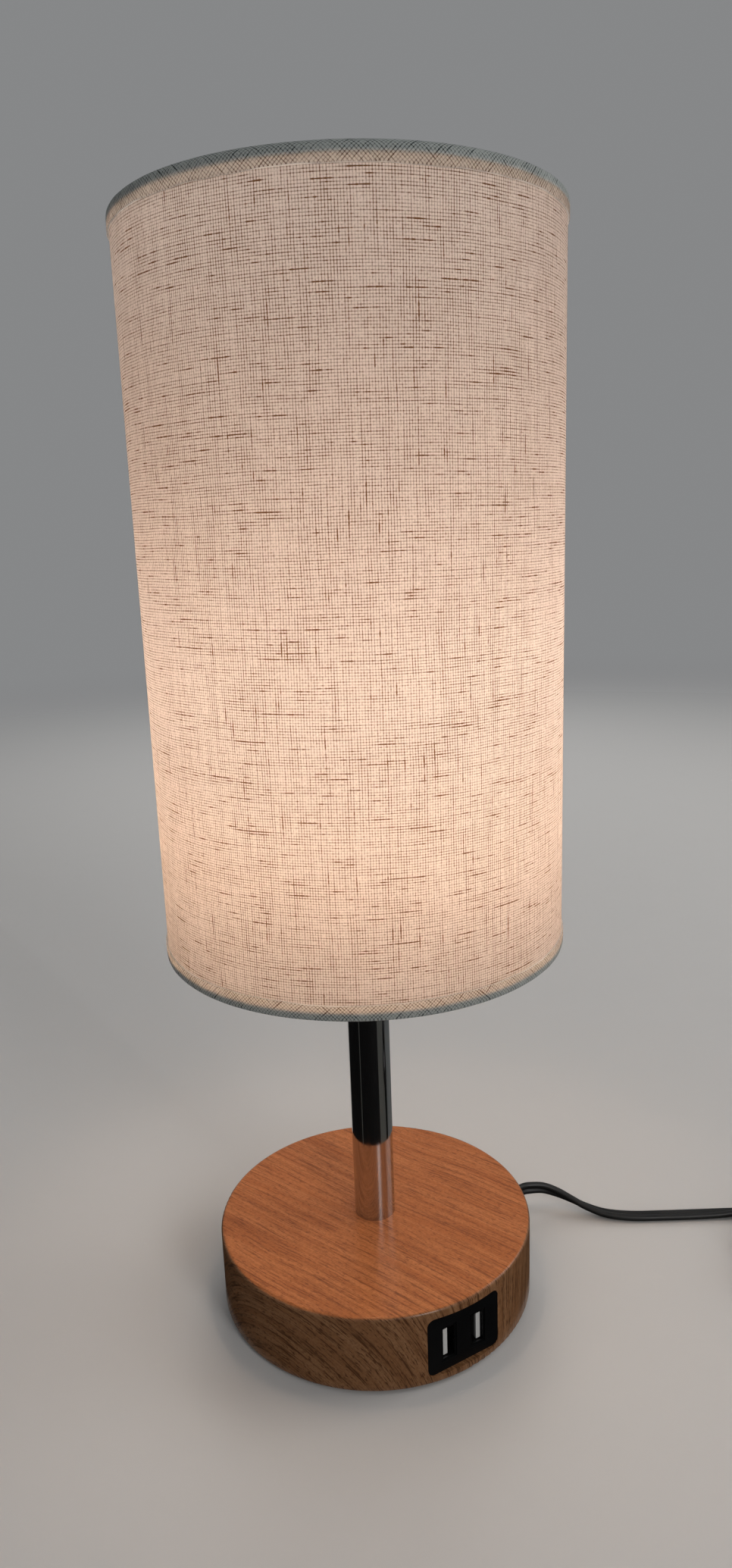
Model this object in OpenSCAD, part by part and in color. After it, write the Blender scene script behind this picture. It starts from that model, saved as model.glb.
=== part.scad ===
// Bedside lamp: drum shade, chrome pole and a round base with two charging sockets in its side.
// Millimetres, +Z up. The origin is the middle of the underside, on the table.
// The charging plate faces -Y and the cord leaves towards +X.

/* [Base] */
// Diameter of the wood-effect block
base_d = 127; // [115:1:150]
// Height of the block from its lower edge to its top
base_h = 31.2; // [30:0.1:40]
// Rounding of the top edge
base_top_r = 1.5; // [0.5:0.1:3]
// Rounding of the lower edge
base_low_r = 1; // [0.4:0.1:2]
// Width of the rim round the cavity
rim_w = 13.5; // [13:0.1:17]
// Thickness left above the cavity
deck_t = 8; // [6:0.1:9]
// Width of the ledge that carries the bottom cover
ledge_w = 7.5; // [7:0.1:8.5]

/* [Underside] */
// Thickness of the bottom cover
cover_t = 2.5; // [2:0.1:3.5]
// How far the cover lies inside the lower edge of the block
cover_sink = 1; // [0.5:0.1:1.5]
// Thickness of the non-slip pad
pad_t = 2; // [1.6:0.1:4]
// Width of bare cover left round the pad
pad_edge = 2; // [1:0.1:5]
// Shank diameter of a cover screw
cover_screw_d = 3.2; // [2.8:0.1:4]
// Head diameter of a cover screw
cover_screw_head = 6.4; // [6:0.1:7]
// Length of a cover screw
cover_screw_len = 12; // [8:0.5:16]

/* [Charging plate] */
// Width of the plate
plate_w = 31.8; // [30:0.1:36]
// Height of the plate
plate_h = 24.2; // [22:0.1:25]
// Thickness of the plate
plate_t = 2.5; // [2:0.1:3]
// Corner rounding of the plate
plate_r = 3; // [1:0.1:5]
// Height of the plate's lower edge above that of the block
plate_low = 3.1; // [2.5:0.1:4]
// Distance between the middles of the two sockets
port_gap = 13; // [11:0.1:14]
// How far the sockets lie below the middle of the plate
port_drop = 1.1; // [0:0.1:1.5]
// Inside width of a socket
port_w = 5.12; // [5.1:0.01:5.2]
// Inside height of a socket
port_h = 12.5; // [12.4:0.01:12.6]
// Thickness of a socket's metal shell
port_wall = 0.3; // [0.25:0.01:0.4]
// Length of a socket
port_len = 13.6; // [12:0.1:14.5]
// How far a socket's mouth lies behind the face of the plate
port_sink = 0.4; // [0.2:0.1:1]
// Thickness of the tongue in a socket
tongue_w = 1.84; // [1.8:0.01:1.9]
// Height of the tongue in a socket
tongue_h = 11.1; // [11:0.01:11.2]
// How far the tongue stands outwards of the socket's middle
tongue_out = 1; // [0.8:0.05:1.1]
// How far the tongue's tip lies behind the socket's mouth
tongue_sink = 0.8; // [0.5:0.1:2]
// Length of the moulded block at the back of a socket
tongue_root = 3.4; // [2.5:0.1:4]
// Wall of the collar behind the plate
collar_wall = 1.6; // [1.2:0.1:2]

/* [Charger] */
// Width of the charger's circuit board
board_w = 30; // [28:0.5:31]
// Height of the circuit board
board_h = 18; // [16:0.5:19]
// Thickness of the circuit board
board_t = 1.6; // [1:0.1:2]
// Shank diameter of a board screw
board_screw_d = 2; // [1.6:0.1:2.4]
// Width of the transformer
trafo_w = 11; // [9:0.5:12]
// Height of the transformer
trafo_h = 13; // [10:0.5:14]
// Depth of the transformer
trafo_deep = 10; // [8:0.5:13]
// Diameter of the larger capacitor
cap_big_d = 8; // [6:0.1:8.5]
// Diameter of the smaller capacitor
cap_small_d = 6.3; // [5:0.1:7]
// Length of the capacitors
cap_len = 11; // [8:0.5:14]

/* [Touch dimmer] */
// Length of the dimmer's case
dimmer_w = 38; // [30:0.5:42]
// Depth of the case
dimmer_deep = 22; // [18:0.5:24]
// Height of the case
dimmer_h = 14; // [12:0.5:16]
// Corner rounding of the case
dimmer_r = 2; // [1:0.1:4]
// Diameter of the insulated wires
wire_lead_d = 2.2; // [1.6:0.1:2.4]

/* [Pole] */
// Outside diameter of the chrome tube
pole_d = 16.5; // [15:0.1:20]
// Wall of the tube
pole_wall = 1; // [0.8:0.1:1.4]
// Diameter of the threaded rod
rod_d = 10; // [9.5:0.1:10.5]
// Bore of the threaded rod for the wires
rod_bore = 7.6; // [7:0.1:8]
// Length of rod that hangs in the cavity
rod_hang = 11; // [9:0.1:12]
// Width of the rod's nut across its flats
nut_flats = 14; // [13:0.1:17]
// Height of the rod's nut
nut_h = 6; // [5:0.1:7]
// Diameter of the washer under the deck
washer_d = 30; // [24:0.5:31]
// Thickness of that washer
washer_t = 1.6; // [1:0.1:2]
// Thickness of the touch terminal's ring
terminal_t = 0.8; // [0.6:0.1:1]
// Length of a bush inside the tube
bush_h = 12; // [8:0.5:20]
// Thickness of the upper bush's flange
bush_flange = 1.5; // [1:0.1:2.5]

/* [Lamp holder] */
// Diameter of the holder's cap and skirt
holder_d = 38; // [37.6:0.1:38.6]
// Diameter of the skirt where the ring nut runs
holder_thread_d = 39; // [38.8:0.1:39.4]
// Height of the skirt above its shoulder
holder_top_h = 23; // [22:0.1:26]
// Height of the skirt below its shoulder
holder_low_h = 13; // [12:0.1:15]
// Diameter of the shoulder that carries the shade
shoulder_d = 46; // [44:0.1:48]
// Thickness of the shoulder
shoulder_t = 2; // [1.5:0.1:3]
// Height of the cap
holder_cap_h = 16; // [15:0.1:20]
// Diameter of the foot of the cap
holder_foot_d = 20; // [18:0.1:24]
// Wall of the cap
holder_wall = 2.2; // [1.8:0.1:2.6]
// Inside diameter of the screw shell
screw_bore = 26.06; // [26:0.01:26.2]
// Thickness of the screw shell
screw_wall = 0.42; // [0.3:0.01:0.5]
// Depth of the screw shell below the rim of the skirt
screw_deep = 21.6; // [21:0.1:22]

/* [Shade] */
// Diameter of the cloth drum
shade_d = 150; // [140:1:200]
// Height of the shade
shade_h = 254; // [180:1:300]
// Height of the shade's lower edge above the top of the base
shade_lift = 121.2; // [90:0.1:180]
// Thickness of the cloth
fabric_t = 0.6; // [0.4:0.05:1]
// Thickness of the plastic liner
liner_t = 0.4; // [0.3:0.05:0.6]
// Diameter of the frame wire
wire_d = 3; // [2.5:0.1:3.5]
// Thickness of the edge tape
trim_t = 0.55; // [0.4:0.05:0.8]
// Height of the edge tape outside
trim_h = 7; // [5:0.1:12]
// Height of the edge tape inside
trim_in_h = 6; // [4.5:0.1:10]
// Hole of the fitting ring
fitter_bore = 41; // [40:0.1:42]
// Outside diameter of the fitting ring
fitter_d = 58; // [56:0.5:64]
// Thickness of the fitting ring
fitter_t = 1.5; // [1.2:0.1:2]
// Number of arms
arm_n = 3; // [3:1:4]
// Diameter of an arm
arm_d = 2.4; // [2:0.1:2.4]
// Diameter of the ring nut's flange
ring_flange_d = 51; // [48:0.5:53]
// Thickness of the ring nut's flange
ring_flange_t = 2; // [1.5:0.1:3]
// Diameter of the ring nut's hub
ring_hub_d = 45; // [43:0.5:46]
// Height of the ring nut
ring_h = 10; // [8:0.1:14]
// Number of finger notches in the flange
ring_notch_n = 12; // [8:1:16]

/* [Bulb] */
// Diameter of the bulb
bulb_d = 60; // [55:0.5:65]
// Length of the bulb from its tip
bulb_len = 108; // [104:0.5:116]
// Diameter of the screw cap
bulb_cap_d = 25.92; // [25.9:0.01:25.98]
// Length of the bulb from its tip to the rim of its screw cap
bulb_cap_h = 24.2; // [24.1:0.1:25]
// Wall of the screw cap
bulb_cap_wall = 0.5; // [0.4:0.05:0.7]
// Height of the housing above the screw cap
bulb_neck_h = 33; // [28:0.5:38]
// Diameter of the housing's upper rim
bulb_rim_d = 57; // [52:0.5:58]
// Wall of the housing and the globe
bulb_wall = 1.4; // [1.2:0.1:2]
// Number of light-emitting chips
chip_n = 10; // [6:1:14]
// Width of a chip
chip_w = 2.8; // [2:0.1:3.5]

/* [Cord] */
// Width of the flat cord
cord_w = 5.6; // [5:0.1:6]
// Thickness of the flat cord
cord_t = 2.8; // [2.5:0.1:3]
// Height of the cord's exit
cord_z = 11; // [10:0.5:14]
// Diameter of the strain relief where it passes the rim
relief_d = 9; // [8:0.1:10]
// Diameter of the strain relief's collar
relief_collar_d = 13; // [12:0.1:15]
// Length of the strain relief outside the block
relief_out = 12; // [11:0.5:20]
// Number of ribs on the strain relief
relief_ribs = 4; // [2:1:5]
// Diameter of the coil at the middle of its turns
coil_d = 62; // [60:1:66]
// Loops in the coil
coil_turns = 8; // [4:1:10]
// Free space between neighbouring loops
coil_slack = 0.6; // [0.5:0.05:1]
// Width of the tie
tie_w = 8; // [6:0.5:12]
// Thickness of the tie
tie_t = 0.8; // [0.6:0.1:1.2]
// Length of the plug's body
plug_len = 27; // [24:0.5:32]
// Width of the plug's body
plug_w = 24; // [22:0.5:28]
// Thickness of the plug's body
plug_t = 14; // [12:0.5:16]
// Length of a blade
blade_len = 16; // [15.5:0.1:18]
// Thickness of a blade
blade_t = 1.5; // [1.4:0.1:1.65]
// Distance between the blades
blade_gap = 12.7; // [12.5:0.1:12.9]

/* [Hidden] */
$fn = 96;

// Clearances
fit = 0.1;         // pieces that are fixed together
slip = 0.3;        // pieces that turn past each other, and curved faces
thread_fit = 0.04; // threaded pieces and the rod
soft_gap = 0.3;    // round soft pieces

// Heights of the base
block_z = pad_t - cover_sink;
ledge_z = pad_t + cover_t;
base_top = block_z + base_h;
ceiling_z = base_top - deck_t;
cavity_r = base_d / 2 - rim_w;
rebate_r = cavity_r + ledge_w;
cover_r = rebate_r - soft_gap;
pad_r = cover_r - pad_edge;
cover_screw_r = cavity_r + ledge_w / 2;
cover_screw_at = [45, 135, 225, 315];
screw_access = 1;

// Charging plate, measured from the axis towards the front
plate_z = block_z + plate_low + plate_h / 2;
plate_face = sqrt(pow(base_d / 2, 2) - pow(plate_w / 2, 2));
plate_back = plate_face - plate_t;
port_z = plate_z - port_drop;
port_x = port_gap / 2;
shell_w = port_w + 2 * port_wall;
shell_h = port_h + 2 * port_wall;
shell_front = plate_face - port_sink;
shell_back = shell_front - port_len;
collar_w = port_gap + shell_w + 2 * (fit + collar_wall);
collar_h = shell_h + 2 * (fit + collar_wall);
board_screw_z = 4.5;
board_screw_head_d = 3.8;
board_screw_head_h = 1.4;
board_screw_deep = 6;
contact_pitch = [-3.5, -1, 1, 3.5];
contact_w = 1;
contact_t = 0.15;
contact_len = 6.5;
retainer_w = 2.4;
retainer_h = 4;

// Charger parts on the back of the board
board_front = shell_back;
board_back = board_front - board_t;
board_z = (ledge_z + ceiling_z) / 2;
trafo_x = -3;
capacitor_x = 9.5;
usb_lead_x = -11.6;

// Dimmer case against the deck, behind the rod
dimmer_front = 17.5;
dimmer_low = ceiling_z - dimmer_h;
dimmer_lead_z = dimmer_low + 3;

// Pole and rod
pole_in_d = pole_d - 2 * pole_wall;
rod_hole_d = rod_d + 2 * thread_fit;
washer_low = ceiling_z - washer_t;
terminal_low = washer_low - terminal_t;
nut_low = terminal_low - nut_h;
rod_low = ceiling_z - rod_hang;
rod_in_cap = 6;

// Shade levels
shade_low = base_top + shade_lift;
shade_top = shade_low + shade_h;
fabric_r = shade_d / 2;
liner_r = fabric_r - fabric_t - 0.05;
frame_r = liner_r - liner_t - 0.05 - wire_d / 2;
trim_out_r = fabric_r + 0.05 + trim_t;
trim_in_r = frame_r - wire_d / 2 - fit - trim_t;
trim_corner = 2;
frame_z = shade_low + trim_t + wire_d / 2 + 0.05;
frame_top_z = shade_top - trim_t - wire_d / 2 - 0.05;
cloth_low = shade_low + trim_corner;
cloth_top = shade_top - trim_corner;
arm_first = 90;

// Lamp holder levels
shoulder_z = frame_z - fitter_t / 2 - slip;
skirt_low = shoulder_z - holder_low_h;
skirt_top = shoulder_z + holder_top_h;
holder_z = skirt_low - holder_cap_h;
core_top = skirt_top - screw_deep;
spigot_h = 4;
spigot_r = holder_d / 2 - holder_wall - fit;
core_r = spigot_r - 1;
core_low = skirt_low - spigot_h + fit;
well_r = 9.4;
well_deep = 4.6;
contact_leaf_t = 0.5;
contact_leaf_w = 5;
shell_out_r = screw_bore / 2 + screw_wall;
pole_top = holder_z - bush_flange;
terminal_x = 8.5;
terminal_d = 6;
terminal_h = 2.2;
terminal_shank_d = 3;
terminal_shank_h = 5;

// Ring nut
ring_low = frame_z + fitter_t / 2 + slip;
ring_bore_d = holder_thread_d + 4 * thread_fit;
notch_d = 4;

// Bulb levels
bulb_rim_z = skirt_top + 0.6;
bulb_tip_z = bulb_rim_z - bulb_cap_h;
tip_h = 1.2;
tip_d = 9.5;
glass_h = 4;
glass_low_d = 12;
glass_top_d = 23;
cap_low = bulb_tip_z + tip_h + glass_h;
cap_cone_h = 2;
neck_d = bulb_cap_d + 1;
globe_low = bulb_rim_z + bulb_neck_h;
globe_r = bulb_d / 2;
globe_z = bulb_tip_z + bulb_len - globe_r;
led_board_t = 1.6;
led_board_low = globe_low - 3.2;
led_board_r = bulb_rim_d / 2 - bulb_wall - 2.2;
chip_h = 0.8;
chip_ring_r = led_board_r * 0.68;
plug_in_h = 7;
driver_w = 15;
driver_h = 24;
driver_t = 1.4;

// Strain relief
relief_in = 3;
relief_tip_d = cord_w + 0.8;
relief_collar_t = 1.4;
relief_spot = 0.6;
relief_x = base_d / 2 - relief_spot;
relief_tip_x = relief_x + relief_out;
relief_back_x = cavity_r - relief_in;
relief_lip_t = relief_in - fit - (cavity_r - sqrt(cavity_r ^ 2 - relief_collar_d ^ 2 / 4));

// Height of the coil's lower layer
coil_low_z = tie_t + soft_gap + cord_w / 2;

// Route of the free cord: x, y, height and roll. A roll of 90 stands the flat cord on its edge.
cord_route = [
    [relief_tip_x, 0, cord_z, 90],
    [relief_tip_x + 2.5, 0, cord_z, 90],
    [relief_tip_x + 6, -0.5, cord_z - 0.1, 90],
    [87.6, -3, 9.9, 80],
    [92.8, -7, 7.9, 64],
    [97, -12.2, 5.7, 46],
    [100.8, -18, 3.7, 28],
    [106.2, -24.8, 2.2, 12],
    [114.8, -32, 1.6, 2],
    [126.6, -39.4, 1.5, 0],
    [138.6, -46.6, 1.5, 0],
    [150.6, -53.6, 1.7, 10],
    [162, -60.2, 2.5, 40],
    [172, -66, 3.6, 75],
    [178, -69.464, coil_low_z, 90],
    [184, -72.928, coil_low_z, 90],
];
coil_heading = -30;
coil_start = cord_route[len(cord_route) - 1];

// Coil: the loops spiral in, climb a layer where the spiral reverses, and spiral out again
loop_rings = 24;
coil_pitch = cord_t + coil_slack;
coil_layer_h = cord_w + coil_slack;
coil_back = coil_turns / 2 + 0.25;
coil_in_r = coil_d / 2 - coil_pitch * coil_back / 2;
coil_out_r = coil_in_r + coil_pitch * coil_back;
coil_x = coil_start[0] + cord_w * cos(coil_heading) - coil_out_r * cos(coil_heading + 90);
coil_y = coil_start[1] + cord_w * sin(coil_heading) - coil_out_r * sin(coil_heading + 90);
tail_len = 36;
tail_rings = 9;
tie_at = coil_heading - 180;

// Unit vector along v
function unit(v) = v / norm(v);

// Smooth step from 0 to 1
function ease(f) = let (c = min(max(f, 0), 1)) c * c * (3 - 2 * c);

// First three numbers of a route point
function place(p) = [p[0], p[1], p[2]];

// Direction of travel at point i of a path
function way(path, i) = unit(place(path[min(i + 1, len(path) - 1)]) - place(path[max(i - 1, 0)]));

// Oval ring at point i of a path, w wide and t thick, turned by the roll held in the point
function ring(path, i, w, t, sides, up) =
    let (d = way(path, i), s = unit(cross(d, up)), u = cross(s, d), roll = path[i][3])
    [for (k = [0 : sides - 1])
        let (a = -360 * k / sides, x = w / 2 * cos(a), y = t / 2 * sin(a))
        place(path[i]) + (x * cos(roll) - y * sin(roll)) * s + (x * sin(roll) + y * cos(roll)) * u];

// Triangles of a tube with m rings of n points
function tube_faces(m, n) = concat(
    [for (i = [0 : m - 2], k = [0 : n - 1]) [i * n + k, i * n + (k + 1) % n, (i + 1) * n + (k + 1) % n]],
    [for (i = [0 : m - 2], k = [0 : n - 1]) [i * n + k, (i + 1) * n + (k + 1) % n, (i + 1) * n + k]],
    [for (k = [1 : n - 2]) [0, k + 1, k]],
    [for (k = [1 : n - 2]) [(m - 1) * n, (m - 1) * n + k, (m - 1) * n + k + 1]]
);

// Path of the coil and its tail
function coil_r(turn) = coil_in_r + coil_pitch * abs(turn - coil_back);
function coil_z(turn) = coil_low_z + coil_layer_h * ease(2 * (turn - coil_back) + 0.5);
coil_loops = [for (k = [0 : loop_rings * coil_turns])
    let (turn = k / loop_rings, a = coil_heading + 90 - 360 * turn)
    [coil_x + coil_r(turn) * cos(a), coil_y + coil_r(turn) * sin(a), coil_z(turn), 90]];
coil_end = coil_loops[len(coil_loops) - 1];
plug_z = plug_t / 2;
coil_tail = [for (k = [1 : tail_rings])
    let (f = k / tail_rings, g = ease((f * tail_len - cord_w) / (tail_len - 2 * cord_w)))
    [coil_end[0] + f * tail_len * cos(coil_heading), coil_end[1] + f * tail_len * sin(coil_heading),
     coil_end[2] + (plug_z - coil_end[2]) * g, 90 * (1 - g)]];
coil_path = concat([coil_start], coil_loops, coil_tail);
plug_at = coil_tail[tail_rings - 1];

// Least gap between the points of neighbouring loops
coil_rings = [for (i = [0 : len(coil_path) - 1]) ring(coil_path, i, cord_w, cord_t, 6, [0, 0, 1])];
coil_gap = min([for (i = [0 : len(coil_path) - 1], n = [1 : coil_turns], m = [-1 : 1])
    let (j = i + n * loop_rings + m)
    if (j < len(coil_path)) min([for (p = coil_rings[i], q = coil_rings[j]) norm(p - q)])]);
echo(str("least gap between the loops of the coil: ", coil_gap, " mm"));

// Wires inside the base and the pole
inner_route = [
    [relief_back_x, 0, cord_z, 90],
    [relief_back_x - 2.5, 0, cord_z, 90],
    [relief_back_x - 5.5, 0.7, cord_z, 90],
    [relief_back_x - 11, 4, cord_z + 0.5, 90],
    [relief_back_x - 14.5, 11, cord_z + 1, 90],
    [relief_back_x - 16.5, 19, cord_z + 1.5, 90],
    [dimmer_w / 2 + 6, 26.5, cord_z + 2, 90],
    [dimmer_w / 2 + 3, 28, cord_z + 2, 90],
    [dimmer_w / 2, 28, cord_z + 2, 90],
];
function usb_route(z) = [
    [-dimmer_w / 2, 28, z, 0],
    [-dimmer_w / 2 - 3, 28, z, 0],
    [-dimmer_w / 2 - 9, 25, z, 0],
    [-dimmer_w / 2 - 13, 17, z, 0],
    [-dimmer_w / 2 - 14, 6, z, 0],
    [-dimmer_w / 2 - 12, -6, z, 0],
    [-24, -17, z, 0],
    [-16, -26, z, 0],
    [usb_lead_x, -board_back + 6, z, 0],
    [usb_lead_x, -board_back + 3, z, 0],
    [usb_lead_x, -board_back, z, 0],
];
lead_x = wire_lead_d / 2 + 0.2;
rod_top = holder_z + rod_in_cap;
lead_bend_z = rod_low - 2.5 * wire_lead_d;
function socket_route(side) = [
    [side * lead_x, dimmer_front, dimmer_lead_z, 0],
    [side * lead_x, dimmer_front - 3, dimmer_lead_z, 0],
    [side * lead_x, dimmer_front - 8, (dimmer_lead_z + lead_bend_z) / 2, 0],
    [side * lead_x, 4.5, lead_bend_z, 0],
    [side * lead_x, 1.6, lead_bend_z + 1.4, 0],
    [side * lead_x, 0.3, lead_bend_z + 4.5, 0],
    [side * lead_x, 0, rod_low + 6, 0],
    [side * lead_x, 0, base_top + (pole_top - base_top) / 5, 0],
    [side * lead_x, 0, pole_top - (pole_top - base_top) / 5, 0],
    [side * lead_x, 0, rod_top - 1.5, 0],
    [side * (lead_x + 0.6), 0, rod_top + 0.15, 0],
    [side * (lead_x + 2.3), 0, rod_top + wire_lead_d * 0.75, 0],
    [side * (terminal_x - 1.6), 0, rod_top + wire_lead_d * 0.85, 0],
    [side * terminal_x, 0, core_low - terminal_h - 1.3, 0],
    [side * terminal_x, 0, core_low - terminal_h, 0],
];
terminal_z = terminal_low + terminal_t / 2;
terminal_eye_d = 15;
terminal_tab_w = 6;
barrel_d = 3.6;
barrel_at = 10.5;
barrel_len = 4;
touch_route = [
    [0, barrel_at + barrel_len, terminal_z - barrel_d / 2 + terminal_t / 2, 0],
    [0, (barrel_at + barrel_len + dimmer_front) / 2, terminal_z - barrel_d / 2 + terminal_t / 2, 0],
    [0, dimmer_front, terminal_z - barrel_d / 2 + terminal_t / 2, 0],
];

// Shared shapes

// Rectangle with round corners, centred
module round_rect(w, h, r) {
    square([w - 2 * r, h], center = true);
    square([w, h - 2 * r], center = true);
    for (x = [-1, 1], y = [-1, 1]) translate([x * (w / 2 - r), y * (h / 2 - r)]) circle(r);
}

// Stands a drawing of the front view at a distance from the axis and builds it outwards
module front(distance, depth) {
    translate([0, -distance, 0]) rotate([90, 0, 0]) linear_extrude(depth) children();
}

// Upright tube
module tube(low, high, outside_d, inside_d) {
    translate([0, 0, low]) difference() {
        cylinder(d = outside_d, h = high - low);
        translate([0, 0, -1]) cylinder(d = inside_d, h = high - low + 2);
    }
}

// Oval tube along a path
module sweep(path, w, t, sides = 8, up = [0, 0, 1]) {
    rings = [for (i = [0 : len(path) - 1]) each ring(path, i, w, t, sides, up)];
    polyhedron(rings, tube_faces(len(path), sides));
}

// Copies for the two sockets, on the left and on the right
module each_port() {
    for (side = [-1, 1]) translate([side * port_x, port_z]) scale([side, 1]) children();
}

// Base

module base_profile() {
    r = base_d / 2;
    translate([0, block_z + base_low_r]) square([r, base_h - base_low_r - base_top_r]);
    translate([0, block_z]) square([r - base_low_r, base_low_r]);
    translate([0, base_top - base_top_r]) square([r - base_top_r, base_top_r]);
    translate([r - base_low_r, block_z + base_low_r]) circle(base_low_r);
    translate([r - base_top_r, base_top - base_top_r]) circle(base_top_r);
}

module base_body() {
    color("#b8895a") difference() {
        rotate_extrude() base_profile();
        translate([0, 0, block_z - 1]) cylinder(r = rebate_r, h = ledge_z - block_z + 1);
        translate([0, 0, block_z]) cylinder(r = cavity_r, h = ceiling_z - block_z);
        translate([0, 0, ceiling_z - 1]) cylinder(d = rod_d + 2 * soft_gap, h = deck_t + 2);
        front(plate_back, base_d) translate([0, plate_z])
            round_rect(plate_w + 2 * fit, plate_h + 2 * fit, plate_r + fit);
        front(0, plate_back + 1) translate([0, port_z])
            square([collar_w + 2 * fit, collar_h + 2 * fit], center = true);
        translate([0, 0, cord_z]) rotate([0, 90, 0]) cylinder(d = relief_d + 2 * fit, h = base_d);
        translate([relief_x, 0, cord_z]) rotate([0, 90, 0])
            cylinder(d = relief_collar_d + 2 * soft_gap, h = base_d);
        for (a = cover_screw_at) rotate(a) translate([cover_screw_r, 0, ledge_z - 1])
            cylinder(d = cover_screw_d + 2 * fit, h = cover_screw_len - cover_t + 2);
    }
}

module cover_screw_shape(grow) {
    head_h = (cover_screw_head - cover_screw_d) / 2;
    cylinder(d1 = cover_screw_head + 2 * grow, d2 = cover_screw_d + 2 * grow, h = head_h);
    cylinder(d = cover_screw_d + 2 * grow, h = cover_screw_len);
}

module bottom_cover() {
    color("#2a2a2a") difference() {
        translate([0, 0, pad_t]) cylinder(r = cover_r, h = cover_t);
        for (a = cover_screw_at) rotate(a) translate([cover_screw_r, 0, pad_t - 0.01]) cover_screw_shape(fit);
    }
}

module cover_screws() {
    drive_w = 0.9;
    drive_l = cover_screw_head * 0.6;
    color("#8f9194") for (a = cover_screw_at) rotate(a) translate([cover_screw_r, 0, pad_t]) difference() {
        cover_screw_shape(0);
        for (turn = [0, 90]) rotate(turn)
            translate([-drive_l / 2, -drive_w / 2, -1]) cube([drive_l, drive_w, 2]);
    }
}

module non_slip_pad() {
    color("#1d1d1d") difference() {
        cylinder(r = pad_r, h = pad_t);
        for (a = cover_screw_at) rotate(a) translate([cover_screw_r, 0, -1])
            cylinder(d = cover_screw_head + 2 * screw_access, h = pad_t + 2);
    }
}

// Charging sockets

module usb_faceplate() {
    lead_in = 0.6;
    color("#18181a") difference() {
        union() {
            front(plate_back, plate_t) translate([0, plate_z]) round_rect(plate_w, plate_h, plate_r);
            front(board_front, plate_back - board_front) translate([0, port_z])
                square([collar_w, collar_h], center = true);
        }
        front(board_front - 1, base_d) each_port()
            square([shell_w + 2 * fit, shell_h + 2 * fit], center = true);
        front(shell_front, base_d) each_port()
            square([shell_w + 2 * lead_in, shell_h + 2 * lead_in], center = true);
        for (s = [-1, 1]) front(board_front - 1, board_screw_deep + 1)
            translate([0, port_z + s * board_screw_z]) circle(d = board_screw_d + 2 * thread_fit);
    }
}

module usb_shells() {
    color("#c9ccd0") difference() {
        front(shell_back, port_len) each_port() square([shell_w, shell_h], center = true);
        front(shell_back - 1, port_len + 2) each_port() square([port_w, port_h], center = true);
        for (s = [-1, 1]) front(shell_front - 5.5 - retainer_h, retainer_h)
            translate([0, port_z + s * port_h / 4]) square([2 * base_d, retainer_w], center = true);
    }
}

module usb_insulators() {
    tongue_len = port_len - tongue_sink - tongue_root;
    color("#eceae4") {
        front(shell_back, tongue_root) each_port()
            square([port_w - 2 * fit, port_h - 2 * fit], center = true);
        front(shell_back + tongue_root, tongue_len) each_port()
            translate([tongue_out, 0]) square([tongue_w, tongue_h], center = true);
    }
}

module usb_contacts() {
    color("#d8b45a") front(shell_back + tongue_root, contact_len) each_port() for (z = contact_pitch)
        translate([tongue_out - (tongue_w + contact_t) / 2, z]) square([contact_t, contact_w], center = true);
}

module charger_board() {
    color("#1f6b3a") difference() {
        front(board_back, board_t) translate([0, board_z]) square([board_w, board_h], center = true);
        for (s = [-1, 1]) front(board_back - 1, board_t + 2) translate([0, port_z + s * board_screw_z])
            circle(d = board_screw_d + 2 * fit);
    }
}

module board_screws() {
    color("#9a9a9a") for (s = [-1, 1]) {
        front(board_back - board_screw_head_h, board_screw_head_h) translate([0, port_z + s * board_screw_z])
            circle(d = board_screw_head_d);
        front(board_back, board_t + board_screw_deep - 0.5) translate([0, port_z + s * board_screw_z])
            circle(d = board_screw_d);
    }
}

module charger_transformer() {
    gap = board_screw_head_h + fit;
    core_t = 2.4;
    color("#33302c") {
        front(board_back - gap, gap) translate([trafo_x - 3, board_z])
            square([trafo_w - 6, trafo_h - 4], center = true);
        for (s = [-1, 1]) front(board_back - gap - trafo_deep, trafo_deep)
            translate([trafo_x, board_z + s * (trafo_h - core_t) / 2])
                square([trafo_w, core_t], center = true);
        translate([trafo_x, -(board_back - gap - trafo_deep / 2), board_z - trafo_h / 2 + core_t])
            cylinder(d = min(trafo_w, trafo_deep) - 0.6, h = trafo_h - 2 * core_t);
        front(board_back - gap - core_t, core_t) translate([trafo_x, board_z])
            square([trafo_w, trafo_h], center = true);
    }
}

module capacitor(d) {
    groove = 0.5;
    rotate_extrude() polygon([
        [0, 0], [d / 2, 0], [d / 2, cap_len * 0.12],
        [d / 2 - groove, cap_len * 0.16], [d / 2 - groove, cap_len * 0.2], [d / 2, cap_len * 0.24],
        [d / 2, cap_len - groove], [d / 2 - groove, cap_len], [0, cap_len],
    ]);
}

module charger_capacitors() {
    color("#1d2f52") {
        translate([capacitor_x, -board_back, board_z + 4.6]) rotate([-90, 0, 0]) capacitor(cap_big_d);
        translate([capacitor_x, -board_back, board_z - 4.6]) rotate([-90, 0, 0]) capacitor(cap_small_d);
    }
}

// Touch dimmer and wires

module touch_dimmer() {
    lid_t = 2;
    seam = 0.4;
    color("#e6e6e2") translate([0, dimmer_front + dimmer_deep / 2, dimmer_low]) {
        linear_extrude(lid_t) round_rect(dimmer_w, dimmer_deep, dimmer_r);
        translate([0, 0, lid_t]) linear_extrude(seam)
            round_rect(dimmer_w - 2 * seam, dimmer_deep - 2 * seam, dimmer_r - seam);
        translate([0, 0, lid_t + seam]) linear_extrude(dimmer_h - lid_t - seam)
            round_rect(dimmer_w, dimmer_deep, dimmer_r);
    }
}

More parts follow.
